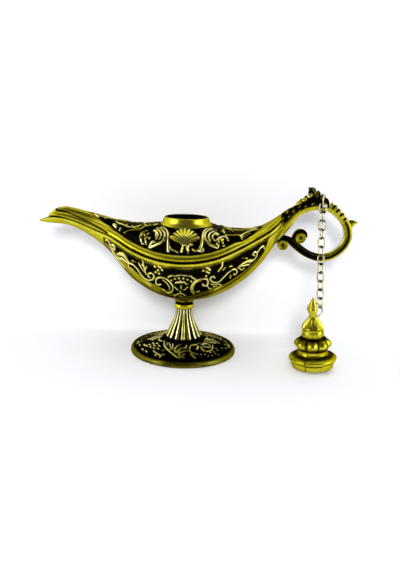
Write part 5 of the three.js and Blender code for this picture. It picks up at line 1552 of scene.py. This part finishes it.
    def collar(self) -> bpy.types.Object:
        """Turns the spool between stem and bowl."""
        s = self.sizes
        low, tall, wide, waist = s.pedestal_height, s.collar_height, self.collar_radius, self.collar_waist
        corners = [
            (s.screw_clearance, low + 0.02), (wide * 0.84, low + 0.02), (wide * 0.98, low + tall * 0.1),
            (wide, low + tall * 0.24), (wide * 0.98, low + tall * 0.4), (wide * 0.92, low + tall * 0.5),
            (waist, low + tall * 0.56), (waist, low + tall * 0.74), (wide * 0.95, low + tall * 0.82),
            (wide * 0.97, low + tall * 0.9), (wide * 0.95, low + tall), (s.screw_clearance, low + tall),
            (s.screw_clearance, low + 0.02),
        ]
        piece = turn_profile("stem_collar", rounded_profile(corners, self.soften), self.collar_steps)
        points = get_points(piece)
        radius = np.hypot(points[:, 0], points[:, 1])
        proud = smooth_step(waist - 0.2, waist + 0.2, radius)
        low_ring = smooth_step(low + tall * 0.56, low + tall * 0.48, points[:, 2]) * proud
        top_ring = smooth_step(low + tall * 0.8, low + tall * 0.88, points[:, 2]) * proud
        give_values(piece, "polish", 0.08 + 0.56 * low_ring + 0.4 * top_ring)
        return piece

    def boss(self) -> bpy.types.Object:
        """Turns the boss inside the bowl that takes the screw."""
        bottom = self.sizes.bowl_bottom
        low, top, bore = bottom + 0.6, bottom + self.boss_height, self.sizes.screw_clearance
        corners = [(bore, low), (self.boss_radius, low), (self.boss_radius - 0.2, top), (bore + 0.4, top),
                   (0, top)]
        piece = turn_profile("screw_boss", rounded_profile(corners, self.soften), self.boss_steps)
        give_values(piece, "polish", np.full(len(piece.data.vertices), 0.3))
        return piece


@dataclass
class Lid:
    """The lid: plug, flange, lobed tier, ring, fluted cone and bud, with the parting line of its mould."""

    sizes: LampSizes
    height: float = 35.4
    plug_play: float = 0.2
    plug_height: float = 3.3
    overhang: float = 0.75
    tier_radius: float = 9.2
    waist_radius: float = 7.05
    drum_radius: float = 5.2
    cone_radius: float = 5.6
    bud_radius: float = 2.25
    neck_radius: float = 1.85
    neck_share: float = 0.7514
    eye_radius: float = 0.85
    lobes: int = 8
    lobe_turn: float = 258.0
    seam_turn: float = 241.0
    around: int = 240
    steps: int = 230
    eye_cut: float = 12.0
    eye_sides: int = 32
    seam_width: float = 0.18
    seam_top: float = 14.0
    well: tuple[float, float] = (4.0, 13.0)
    recess_height: float = 5.0
    plug_wall: float = 1.95
    lean: float = -3.9
    shift: float = -1.25

    @property
    def neck_height(self) -> float:
        """Height of the eye through the lid's neck."""
        return self.neck_share * self.height

    def profile(self) -> np.ndarray:
        """Rows of (radius, height, lobe depth, darkness) from the plug's foot to the tip."""
        plug = self.sizes.neck_bore - self.plug_play
        flange = self.sizes.neck_bore + self.sizes.neck_lip + self.overhang
        waist, tier, drum = self.waist_radius, self.tier_radius, self.drum_radius
        cone, bud, eye, groove = self.cone_radius, self.bud_radius, self.neck_height, self.plug_height
        rows = [
            (plug * 0.9, 0.0, 0, 0.2), (plug * 0.97, 0.25, 0, 0.1), (plug, 1.1, 0, 0),
            (plug, groove - 0.6, 0, 0), (plug - 0.15, groove - 0.1, 0, 0.9),
            (flange * 0.9, groove + 0.05, 0, 0.6),
            (flange * 0.955, 3.75, 0, 0), (flange * 0.99, 4.4, 0, 0), (flange, 5.0, 0, 0),
            (flange * 0.985, 5.45, 0, 0), (flange * 0.93, 5.85, 0, 0.1), (flange * 0.8, 6.4, 0, 0.4),
            (waist * 1.13, 6.8, 0, 0.4), (waist * 1.02, 7.5, 0, 0.1), (waist, 8.4, 0, 0),
            (waist * 1.01, 9.1, 0, 0.1), (waist * 1.06, 9.6, 0.03, 0.5), (tier * 0.88, 10.4, 0.08, 0.1),
            (tier * 0.97, 11.2, 0.13, 0), (tier, 12.2, 0.16, 0), (tier * 0.97, 13.2, 0.17, 0),
            (tier * 0.86, 14.2, 0.16, 0.2), (tier * 0.7, 14.95, 0.08, 0.5), (drum * 0.97, 15.3, 0.01, 0.5),
            (drum, 15.8, 0, 0.1), (drum * 1.04, 16.8, 0, 0), (drum * 1.04, 17.6, 0, 0), (drum, 18.7, 0, 0),
            (drum * 0.98, 19.5, 0, 0.1), (drum, 20.0, 0, 0.5), (cone, 20.25, -0.02, 0), (cone, 20.8, -0.1, 0),
            (cone * 0.88, 21.9, -0.17, 0), (cone * 0.71, 23.2, -0.2, 0), (cone * 0.55, 24.4, -0.2, 0),
            (cone * 0.42, 25.2, -0.14, 0), (self.neck_radius, eye - self.eye_radius, -0.04, 0.15),
            (self.neck_radius, eye, 0, 0), (self.neck_radius, eye + self.eye_radius, 0, 0),
            (bud * 0.96, eye + 1.9 * self.eye_radius, 0, 0), (bud, eye + 2.6 * self.eye_radius, 0, 0),
            (bud * 0.92, eye + 4.0 * self.eye_radius, 0, 0), (bud * 0.72, self.height * 0.915, 0, 0),
            (bud * 0.4, self.height * 0.965, 0, 0), (bud * 0.08, self.height, 0, 0),
        ]
        table = np.array(rows, float)
        gaps = np.sqrt(np.linalg.norm(np.diff(table[:, :2], axis=0), axis=1))
        knots = np.concatenate([[0.0], np.cumsum(gaps)])
        return fair_curve(knots, table, np.linspace(0, knots[-1], self.steps))

    def build(self, place: np.ndarray) -> bpy.types.Object:
        """Shapes the lid at its place.

        Args:
            place: The foot of the lid's axis.

        Returns:
            The lid's piece.
        """
        rows = self.profile()
        rows[:, 0] = np.maximum(rows[:, 0], 0.02)
        rows[:, 1] = np.clip(rows[:, 1], 0.0, self.height)
        plug = self.sizes.neck_bore - self.plug_play
        (well, roof), recess, wall = self.well, self.recess_height, plug - self.plug_wall
        hollow = [(0.02, roof), (well, roof), (well, recess), (wall, recess), (wall, 0.0), (plug * 0.9, 0.0)]
        rows = np.vstack([np.array([(r, z, 0, 0.6) for r, z in hollow]), rows])
        turn = np.linspace(0, math.tau, self.around + 1)
        lobe = 0.5 - 0.5 * np.cos(self.lobes * (turn - math.radians(self.lobe_turn)))
        puff = 0.35 * lobe + 0.65 * (1 - np.sqrt(np.clip(1 - lobe, 0, 1)))
        hollow_face = np.abs(np.cos(self.lobes * turn / 2 + 0.4))
        bulge, dish = np.clip(rows[:, 2:3], 0, 1), np.clip(-rows[:, 2:3], 0, 1)
        radius = rows[:, :1] * (1 - bulge * puff - dish * hollow_face)
        height = np.broadcast_to(rows[:, 1:2], radius.shape)
        skin = np.stack([radius * np.cos(turn), radius * np.sin(turn), height], axis=-1)
        dark = np.clip(rows[:, 3:], 0, 1) + np.clip(bulge * 4, 0, 0.6) * smooth_step(0.7, 1.0, puff)
        polish = PLAIN_POLISH * (1 - 0.9 * np.clip(dark, 0, 1))
        polish = polish + 0.2 * np.clip(dish * 6, 0, 1) * smooth_step(0.5, 0.1, hollow_face)
        # The mould's parting line runs up the plug and flange at the front.
        line = np.abs(np.angle(np.exp(1j * (turn - math.radians(self.seam_turn))))) * radius
        seam = np.exp(-((line / self.seam_width) ** 2)) * (rows[:, 1:2] < self.seam_top)
        polish = polish * (1 - 0.6 * seam)
        # The lid stands a little tilted on its plug's edge; the chain's eye is cut where the ring is.
        tilt, eye_height = math.radians(self.lean), self.neck_height
        x, z = skin[..., 0].copy(), skin[..., 2] - eye_height
        skin[..., 0] = x * math.cos(tilt) + z * math.sin(tilt) + self.shift
        skin[..., 2] = z * math.cos(tilt) - x * math.sin(tilt)
        skin[..., 2] -= skin[..., 2].min()
        piece = lay_skin("lid_finial", skin + place, polish)
        cut_round_hole(piece, place + (0, 0, self.neck_height), self.eye_radius, self.eye_cut,
                       self.eye_sides, (0, math.pi / 2, 0))
        return piece


@dataclass
class Chain:
    """The cable chain, its top ring through the handle's eyelet and its ring through the lid."""

    sizes: LampSizes
    handle: Handle
    lid: Lid
    top_radius: float = 2.9
    lid_radius: float = 3.6
    wire: float = 0.7
    drawn_wire: float = 0.8
    length: float = 5.8
    width: float = 4.1
    play: float = 0.12
    top_slack: float = 0.16
    lid_slack: float = 0.36
    lid_seat: float = 0.22
    taut_share: float = 0.9714
    yaw: float = math.radians(20)
    top_turn: float = math.radians(40)
    twist: float = math.radians(-10)
    full_twist: float = 4.5
    lid_tilt: float = math.radians(50)
    lid_turn: float = math.radians(50)
    ring_gap: float = 0.05
    ring_hang: float = 0.38
    # Where each jump ring's gap is, in degrees.
    top_gap: float = 60.0
    lid_gap: float = 110.0
    ring_grid: tuple[int, int] = (72, 17)
    link_grid: tuple[int, int] = (40, 14)
    ring_polish: float = 0.8
    wire_crease: float = 60.0

    def __post_init__(self) -> None:
        """Works out where the rings, the hooks and the lid are."""
        h, s = self.handle, self.sizes
        roof = s.up_body(h.eyelet_share[1]) + h.eyelet_height
        self.pitch = self.length - 2 * self.wire - self.play
        self.out = np.array((-math.sin(self.yaw), -math.cos(self.yaw), 0.0))
        eye = np.array((s.along_handle(h.eyelet_share[0]), 0.0, roof + h.web_rise / 2))
        self.top_centre = eye + self.out * self.top_radius * self.ring_hang
        self.top_hook = self.top_centre + self.out * self.top_radius * math.sin(self.top_turn)
        self.top_hook = self.top_hook - (0, 0, self.top_radius * math.cos(self.top_turn))
        self.up = np.array((0.0, math.cos(self.lid_tilt), math.sin(self.lid_tilt)))
        reach = self.lid_radius - self.lid_seat
        from_eye = self.up * (reach + self.lid_radius * math.cos(self.lid_turn))
        from_eye = from_eye + (self.lid_radius * math.sin(self.lid_turn), 0, 0)
        drop = self.top_hook[2] - self.lid.neck_height - from_eye[2]
        self.count = 2 * math.ceil(drop / (2 * self.pitch))
        distance = self.count * self.pitch * self.taut_share
        y = self.top_hook[1] - from_eye[1] - math.sqrt(distance**2 - drop**2)
        self.lid_place = np.array((self.top_hook[0] - from_eye[0], y, 0.0))
        self.lid_hook = self.lid_place + (0, 0, self.lid.neck_height) + from_eye
        self.lid_centre = self.lid_place + (0, 0, self.lid.neck_height) + self.up * reach

    def points(self) -> np.ndarray:
        """Hinge points of the links, on a shallow sagging arc."""
        down = self.lid_hook - self.top_hook
        down /= np.linalg.norm(down)
        start = self.top_hook - down * self.top_slack
        end = self.lid_hook + down * ((self.wire + self.sizes.ring_wire) / 2 + self.lid_slack)
        span = float(np.linalg.norm(end - start))
        stretch = self.count * self.pitch / span
        half = 0.5
        # Half the arc's angle, by repeated correction.
        for _ in range(60):
            half = max(1e-4, half - (half / math.sin(half) - stretch) / (half / 3 + 1e-6))
        along = (end - start) / span
        sag = np.array((0.0, 0.0, -1.0)) + along * along[2]
        sag /= np.linalg.norm(sag)
        radius = span / (2 * math.sin(half))
        step = 2 * math.asin(self.pitch / (2 * radius))
        made = []
        for i in range(self.count + 1):
            turn = -half + i * step
            run = span / 2 + radius * math.sin(turn)
            fall = radius * (math.cos(turn) - math.cos(half))
            made.append(start + along * run + sag * fall)
        return np.array(made)

    def link(self, name: str, centre: np.ndarray, side: np.ndarray, up: np.ndarray) -> bpy.types.Object:
        """Bends one oval link from a ring: its halves are moved apart in edit mode.

        Args:
            name: The piece's name.
            centre: The link's middle.
            side: Direction across the link in its own plane.
            up: Direction along the link.

        Returns:
            The link's piece.
        """
        bend = (self.width - self.wire) / 2
        reach = (self.length - self.width) / 2
        start_piece()
        along, round_wire = self.link_grid
        bpy.ops.mesh.primitive_torus_add(major_segments=along, minor_segments=round_wire,
                                         major_radius=bend * MM, minor_radius=self.drawn_wire / 2 * MM,
                                         rotation=(math.pi / 2, 0, 0))
        piece = named(name)
        bpy.ops.object.transform_apply(location=False, rotation=True, scale=True)
        for sign in (1, -1):
            bpy.ops.object.mode_set(mode="EDIT")
            pick_everything(False)
            bpy.ops.object.mode_set(mode="OBJECT")
            for vertex in piece.data.vertices:
                on_middle = abs(vertex.co.z) <= 1e-6
                vertex.select = sign > 0 if on_middle else vertex.co.z * sign > 0
            bpy.ops.object.mode_set(mode="EDIT")
            bpy.ops.transform.translate(value=(0, 0, sign * reach * MM))
            bpy.ops.object.mode_set(mode="OBJECT")
        close_and_smooth(piece, self.wire_crease)
        basis = np.stack([side, np.cross(up, side), up], axis=0)
        local = mesh_points(piece) / MM
        set_points(piece, local @ basis + centre)
        # Dark link ends: rub wear, and painted shade where the next link overlaps.
        tip = self.length / 2
        give_values(piece, "rub_wear_and_shade", 0.5 * smooth_step(tip - 1.3, tip - 0.5, np.abs(local[:, 2])))
        return piece

    def ring(self, name: str, radius: float, centre: np.ndarray, first: np.ndarray, second: np.ndarray,
             open_at: float) -> bpy.types.Object:
        """Bends an open jump ring.

        Args:
            name: The piece's name.
            radius: Radius of the wire's middle.
            centre: The ring's middle.
            first: First direction of the ring's plane.
            second: Second direction of the ring's plane.
            open_at: Angle of the small gap, in degrees from the first direction.

        Returns:
            The ring's piece.
        """
        rows, columns = self.ring_grid
        turn = np.linspace(self.ring_gap, math.tau - self.ring_gap, rows) + math.radians(open_at)
        roll = np.linspace(0, math.tau, columns)
        normal = np.cross(first, second)
        out = np.cos(turn)[:, None, None] * first + np.sin(turn)[:, None, None] * second
        wire = self.sizes.ring_wire / 2
        round_wire = np.cos(roll)[None, :, None] * out + np.sin(roll)[None, :, None] * normal
        skin = centre + out * radius + wire * round_wire
        return lay_skin(name, skin, np.full(skin.shape[:2], self.ring_polish), self.wire_crease)

    def build(self) -> list[tuple[bpy.types.Object, str]]:
        """Makes both rings and all links.

        Returns:
            Each piece with its body's name.
        """
        up_axis, along = np.array((0.0, 0.0, 1.0)), np.array((1.0, 0.0, 0.0))
        top = self.ring("top_ring", self.top_radius, self.top_centre, self.out, up_axis, self.top_gap)
        low = self.ring("lid_jump_ring", self.lid_radius, self.lid_centre, along, self.up, self.lid_gap)
        made = [(top, Body.TOP_RING.value), (low, Body.LID_RING.value)]
        points = self.points()
        for i in range(self.count):
            up = points[i] - points[i + 1]
            up /= np.linalg.norm(up)
            yaw = i * math.pi / 2 + self.twist * min(i, self.full_twist)
            side = np.array((math.cos(yaw), math.sin(yaw), 0.0))
            side -= up * (side @ up)
            side /= np.linalg.norm(side)
            centre = points[i + 1] + up * (self.length - self.wire) / 2
            made.append((self.link(f"chain_link_{i + 1:02d}", centre, side, up), f"link_{i + 1:02d}"))
        return made


@dataclass
class Studio:
    """A pale sweep, soft lamps and the camera at the photograph's angle."""

    focal_px: float = 593.964
    picture_px: tuple[int, int] = (400, 570)
    sensor_mm: float = 36.0
    camera_mm: tuple[float, float, float] = (1.984, -296.388, 108.822)
    pitch_degrees: float = 13.799
    roll_degrees: float = 1.85
    world_level: float = 0.09
    floor_glow: float = 0.13
    floor_depth: float = 0.0298
    bend_radius: float = 0.004
    wall_height: float = 0.8
    paper_size: float = 4.0
    flat_steps: int = 10
    bend_steps: int = 40
    wall_steps: int = 10
    floor_size: float = 8.0
    floor_drop: float = 0.0002
    # The card's tooth, in millimetres.
    tooth_mm: float = 1 / 0.9
    near_and_far: tuple[float, float] = (0.01, 20.0)
    lit_point: tuple[float, float, float] = (0.0, 0.0, 0.05)
    # Soft boxes: name, place, width and height, power, and what each lights.
    soft_boxes: tuple = (
        ("soft_box_left", (-0.6, -0.24, 0.26), (0.42, 0.5), 2.4, Lights.BRASS),
        ("soft_box_right", (0.6, -0.24, 0.26), (0.42, 0.5), 2.4, Lights.BRASS),
        ("soft_box_top", (0.0, -0.16, 0.75), (1.0, 0.5), 2.4, Lights.PAPER),
        ("soft_box_front", (0.0, -0.8, 0.36), (0.2, 0.16), 4.4, Lights.PAPER),
    )

    def camera(self) -> None:
        """Sets the camera where the photograph was taken from."""
        bpy.ops.object.camera_add(location=tuple(v * MM for v in self.camera_mm))
        camera = bpy.context.active_object
        turn = Matrix.Rotation(math.radians(90 - self.pitch_degrees), 3, "X") @ Matrix.Rotation(
            math.radians(self.roll_degrees), 3, "Z")
        camera.rotation_euler = turn.to_euler()
        camera.data.sensor_width = self.sensor_mm
        camera.data.lens = self.focal_px * self.sensor_mm / max(self.picture_px)
        camera.data.clip_start, camera.data.clip_end = self.near_and_far
        bpy.context.scene.camera = camera

    def lamps(self) -> None:
        """Hangs a soft box at each side for the brass, and one above and one in front for the paper."""
        for name, place, size, power, lights in self.soft_boxes:
            bpy.ops.object.light_add(type="AREA", location=place)
            lamp = bpy.context.active_object
            lamp.name = name
            lamp.data.shape = "RECTANGLE"
            lamp.data.size, lamp.data.size_y = size
            lamp.data.energy = power
            lamp.visible_glossy = lights is Lights.BRASS
            lamp.visible_diffuse = lights is Lights.PAPER
            lamp.rotation_euler = (Vector(place) - Vector(self.lit_point)).to_track_quat("Z", "Y").to_euler()

    def paper(self) -> bpy.types.Material:
        """Makes the studio's paper.

        Returns:
            The material.
        """
        # Uncoated card: a fine tooth and no shine, so that the eye sees even white with a soft shadow.
        material, tree, shader = new_material("matt_white_paper")
        place = add_node(tree, "ShaderNodeTexCoord").outputs["Object"]
        grain = add_node(tree, "ShaderNodeTexNoise", Vector=place, Scale=1 / (self.tooth_mm * MM), Detail=2.0)
        tone = add_node(tree, "ShaderNodeValToRGB", Fac=grain.outputs["Fac"])
        set_ramp(tone, [(0.0, "#F1F2F7"), (1.0, "#F7F8FD")])
        tree.links.new(tone.outputs["Color"], shader.inputs["Base Color"])
        shader.inputs["Roughness"].default_value = 0.9
        shader.inputs["Specular IOR Level"].default_value = 0.1
        path = add_node(tree, "ShaderNodeLightPath")
        seen = add_node(tree, "ShaderNodeMath", {"operation": "MAXIMUM"}, n0=path.outputs["Is Camera Ray"],
                        n1=path.outputs["Is Glossy Ray"])
        seen = add_node(tree, "ShaderNodeMath", {"operation": "MAXIMUM"}, n0=seen.outputs[0],
                        n1=path.outputs["Is Transmission Ray"]).outputs[0]
        strength = add_node(tree, "ShaderNodeMath", {"operation": "MULTIPLY"}, n0=seen, n1=self.floor_glow)
        tree.links.new(strength.outputs[0], shader.inputs["Emission Strength"])
        shader.inputs["Emission Color"].default_value = (1, 1, 1, 1)
        # From behind, the paper lets the view through.
        clear = add_node(tree, "ShaderNodeBsdfTransparent")
        side = add_node(tree, "ShaderNodeNewGeometry").outputs["Backfacing"]
        shown = add_node(tree, "ShaderNodeMixShader", Fac=side, n1=shader.outputs["BSDF"],
                         n2=clear.outputs["BSDF"])
        output = next(node for node in tree.nodes if node.bl_idname == "ShaderNodeOutputMaterial")
        tree.links.new(shown.outputs["Shader"], output.inputs["Surface"])
        return material

    def sweep(self, paper: bpy.types.Material) -> None:
        """Lays the paper that curves up close behind the lamp and catches its soft shadow."""
        start_piece()
        half, wall_start = self.paper_size / 2, self.flat_steps + self.bend_steps
        steps = wall_start + self.wall_steps
        bpy.ops.mesh.primitive_grid_add(x_subdivisions=2, y_subdivisions=steps, size=self.paper_size)
        floor = named("studio_sweep")
        for vertex in floor.data.vertices:
            step = round((vertex.co.y + half) / self.paper_size * steps)
            if step <= self.flat_steps:
                vertex.co.y = self.floor_depth - half * (1 - step / self.flat_steps)
            elif step <= wall_start:
                turn = (step - self.flat_steps) / self.bend_steps * math.pi / 2
                vertex.co.y = self.floor_depth + self.bend_radius * math.sin(turn)
                vertex.co.z = self.bend_radius * (1 - math.cos(turn))
            else:
                vertex.co.y = self.floor_depth + self.bend_radius
                vertex.co.z = self.bend_radius + self.wall_height * (step - wall_start) / self.wall_steps
        bpy.ops.object.shade_smooth()
        floor.data.materials.append(paper)

    def ground(self, paper: bpy.types.Material) -> None:
        """Lays the floor round the sweep, a hair below it."""
        start_piece()
        bpy.ops.mesh.primitive_plane_add(size=self.floor_size, location=(0, 0, -self.floor_drop))
        ground = named("studio_floor")
        bpy.ops.object.transform_apply(location=True, rotation=True, scale=True)
        ground.data.materials.append(paper)

    def world(self) -> None:
        """Fills the room with a plain dim grey."""
        world = bpy.data.worlds.new("studio_room")
        world.use_nodes = True
        tree = world.node_tree
        tree.nodes.clear()
        room = add_node(tree, "ShaderNodeBackground", Color=(1, 1, 1, 1), Strength=self.world_level)
        add_node(tree, "ShaderNodeOutputWorld", Surface=room.outputs["Background"])
        bpy.context.scene.world = world

    def build(self) -> None:
        """Sets up the studio."""
        self.camera()
        self.lamps()
        paper = self.paper()
        self.sweep(paper)
        self.ground(paper)
        self.world()
        bpy.context.scene.view_settings.view_transform = "Standard"


def main() -> None:
    """Builds every sub-assembly in order."""
    logging.basicConfig(level=logging.INFO, format="%(name)s: %(message)s")
    Studio().build()
    sizes = LampSizes()
    hull = Hull(sizes)
    shell_brass = patina_material(PatinaFinish("antique_brass_shell"))
    # The foot is less rubbed: a duller olive brass. The lid is handled most: smooth, bright and even.
    foot_brass = patina_material(
        PatinaFinish("antique_brass_foot", brass="#7F7A22", bright="#C9C268", cream="#F1EAB8"))
    lid_brass = patina_material(
        PatinaFinish("polished_brass_lid", grit_share=0.06, bright_rough=0.16, bump_mm=0.02))
    # Drawn wire reads pale gold and shiny, dark where links rub; zinc reads as a plain grey screw.
    wire = wire_material(WireFinish("brass_plated_wire"))
    zinc = wire_material(WireFinish("zinc_plated_steel", "#B4B6B8", "#7E8083", rough=0.3))
    lamp, shell = Body.LAMP.value, Slot.SHELL

    dress(Bowl(hull).build(), shell_brass, lamp, shell, "lower_shell")
    dress(Cover(hull).build(), shell_brass, lamp, shell, "upper_shell")
    dress(Neck(sizes).build(), shell_brass, lamp, shell, "upper_shell")
    handle = Handle(sizes)
    for piece in handle.build():
        dress(piece, shell_brass, lamp, shell, "handle")
    foot = Pedestal(sizes)
    dress(foot.build(), foot_brass, lamp, Slot.FOOT, "pedestal")
    dress(foot.collar(), shell_brass, lamp, shell, "collar")
    dress(foot.boss(), shell_brass, lamp, shell, "lower_shell")
    lid = Lid(sizes)
    chain = Chain(sizes, handle, lid)
    for piece, body in chain.build():
        dress(piece, wire, body, Slot.CHAIN, body)
    dress(lid.build(chain.lid_place), lid_brass, Body.LID.value, Slot.LID, "lid")
    for name in ("pedestal_screw", "screw_washer"):
        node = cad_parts[name]
        node.data.materials.clear()
        node.data.materials.append(zinc)
    start_piece()


if __name__ == "__main__":
    main()
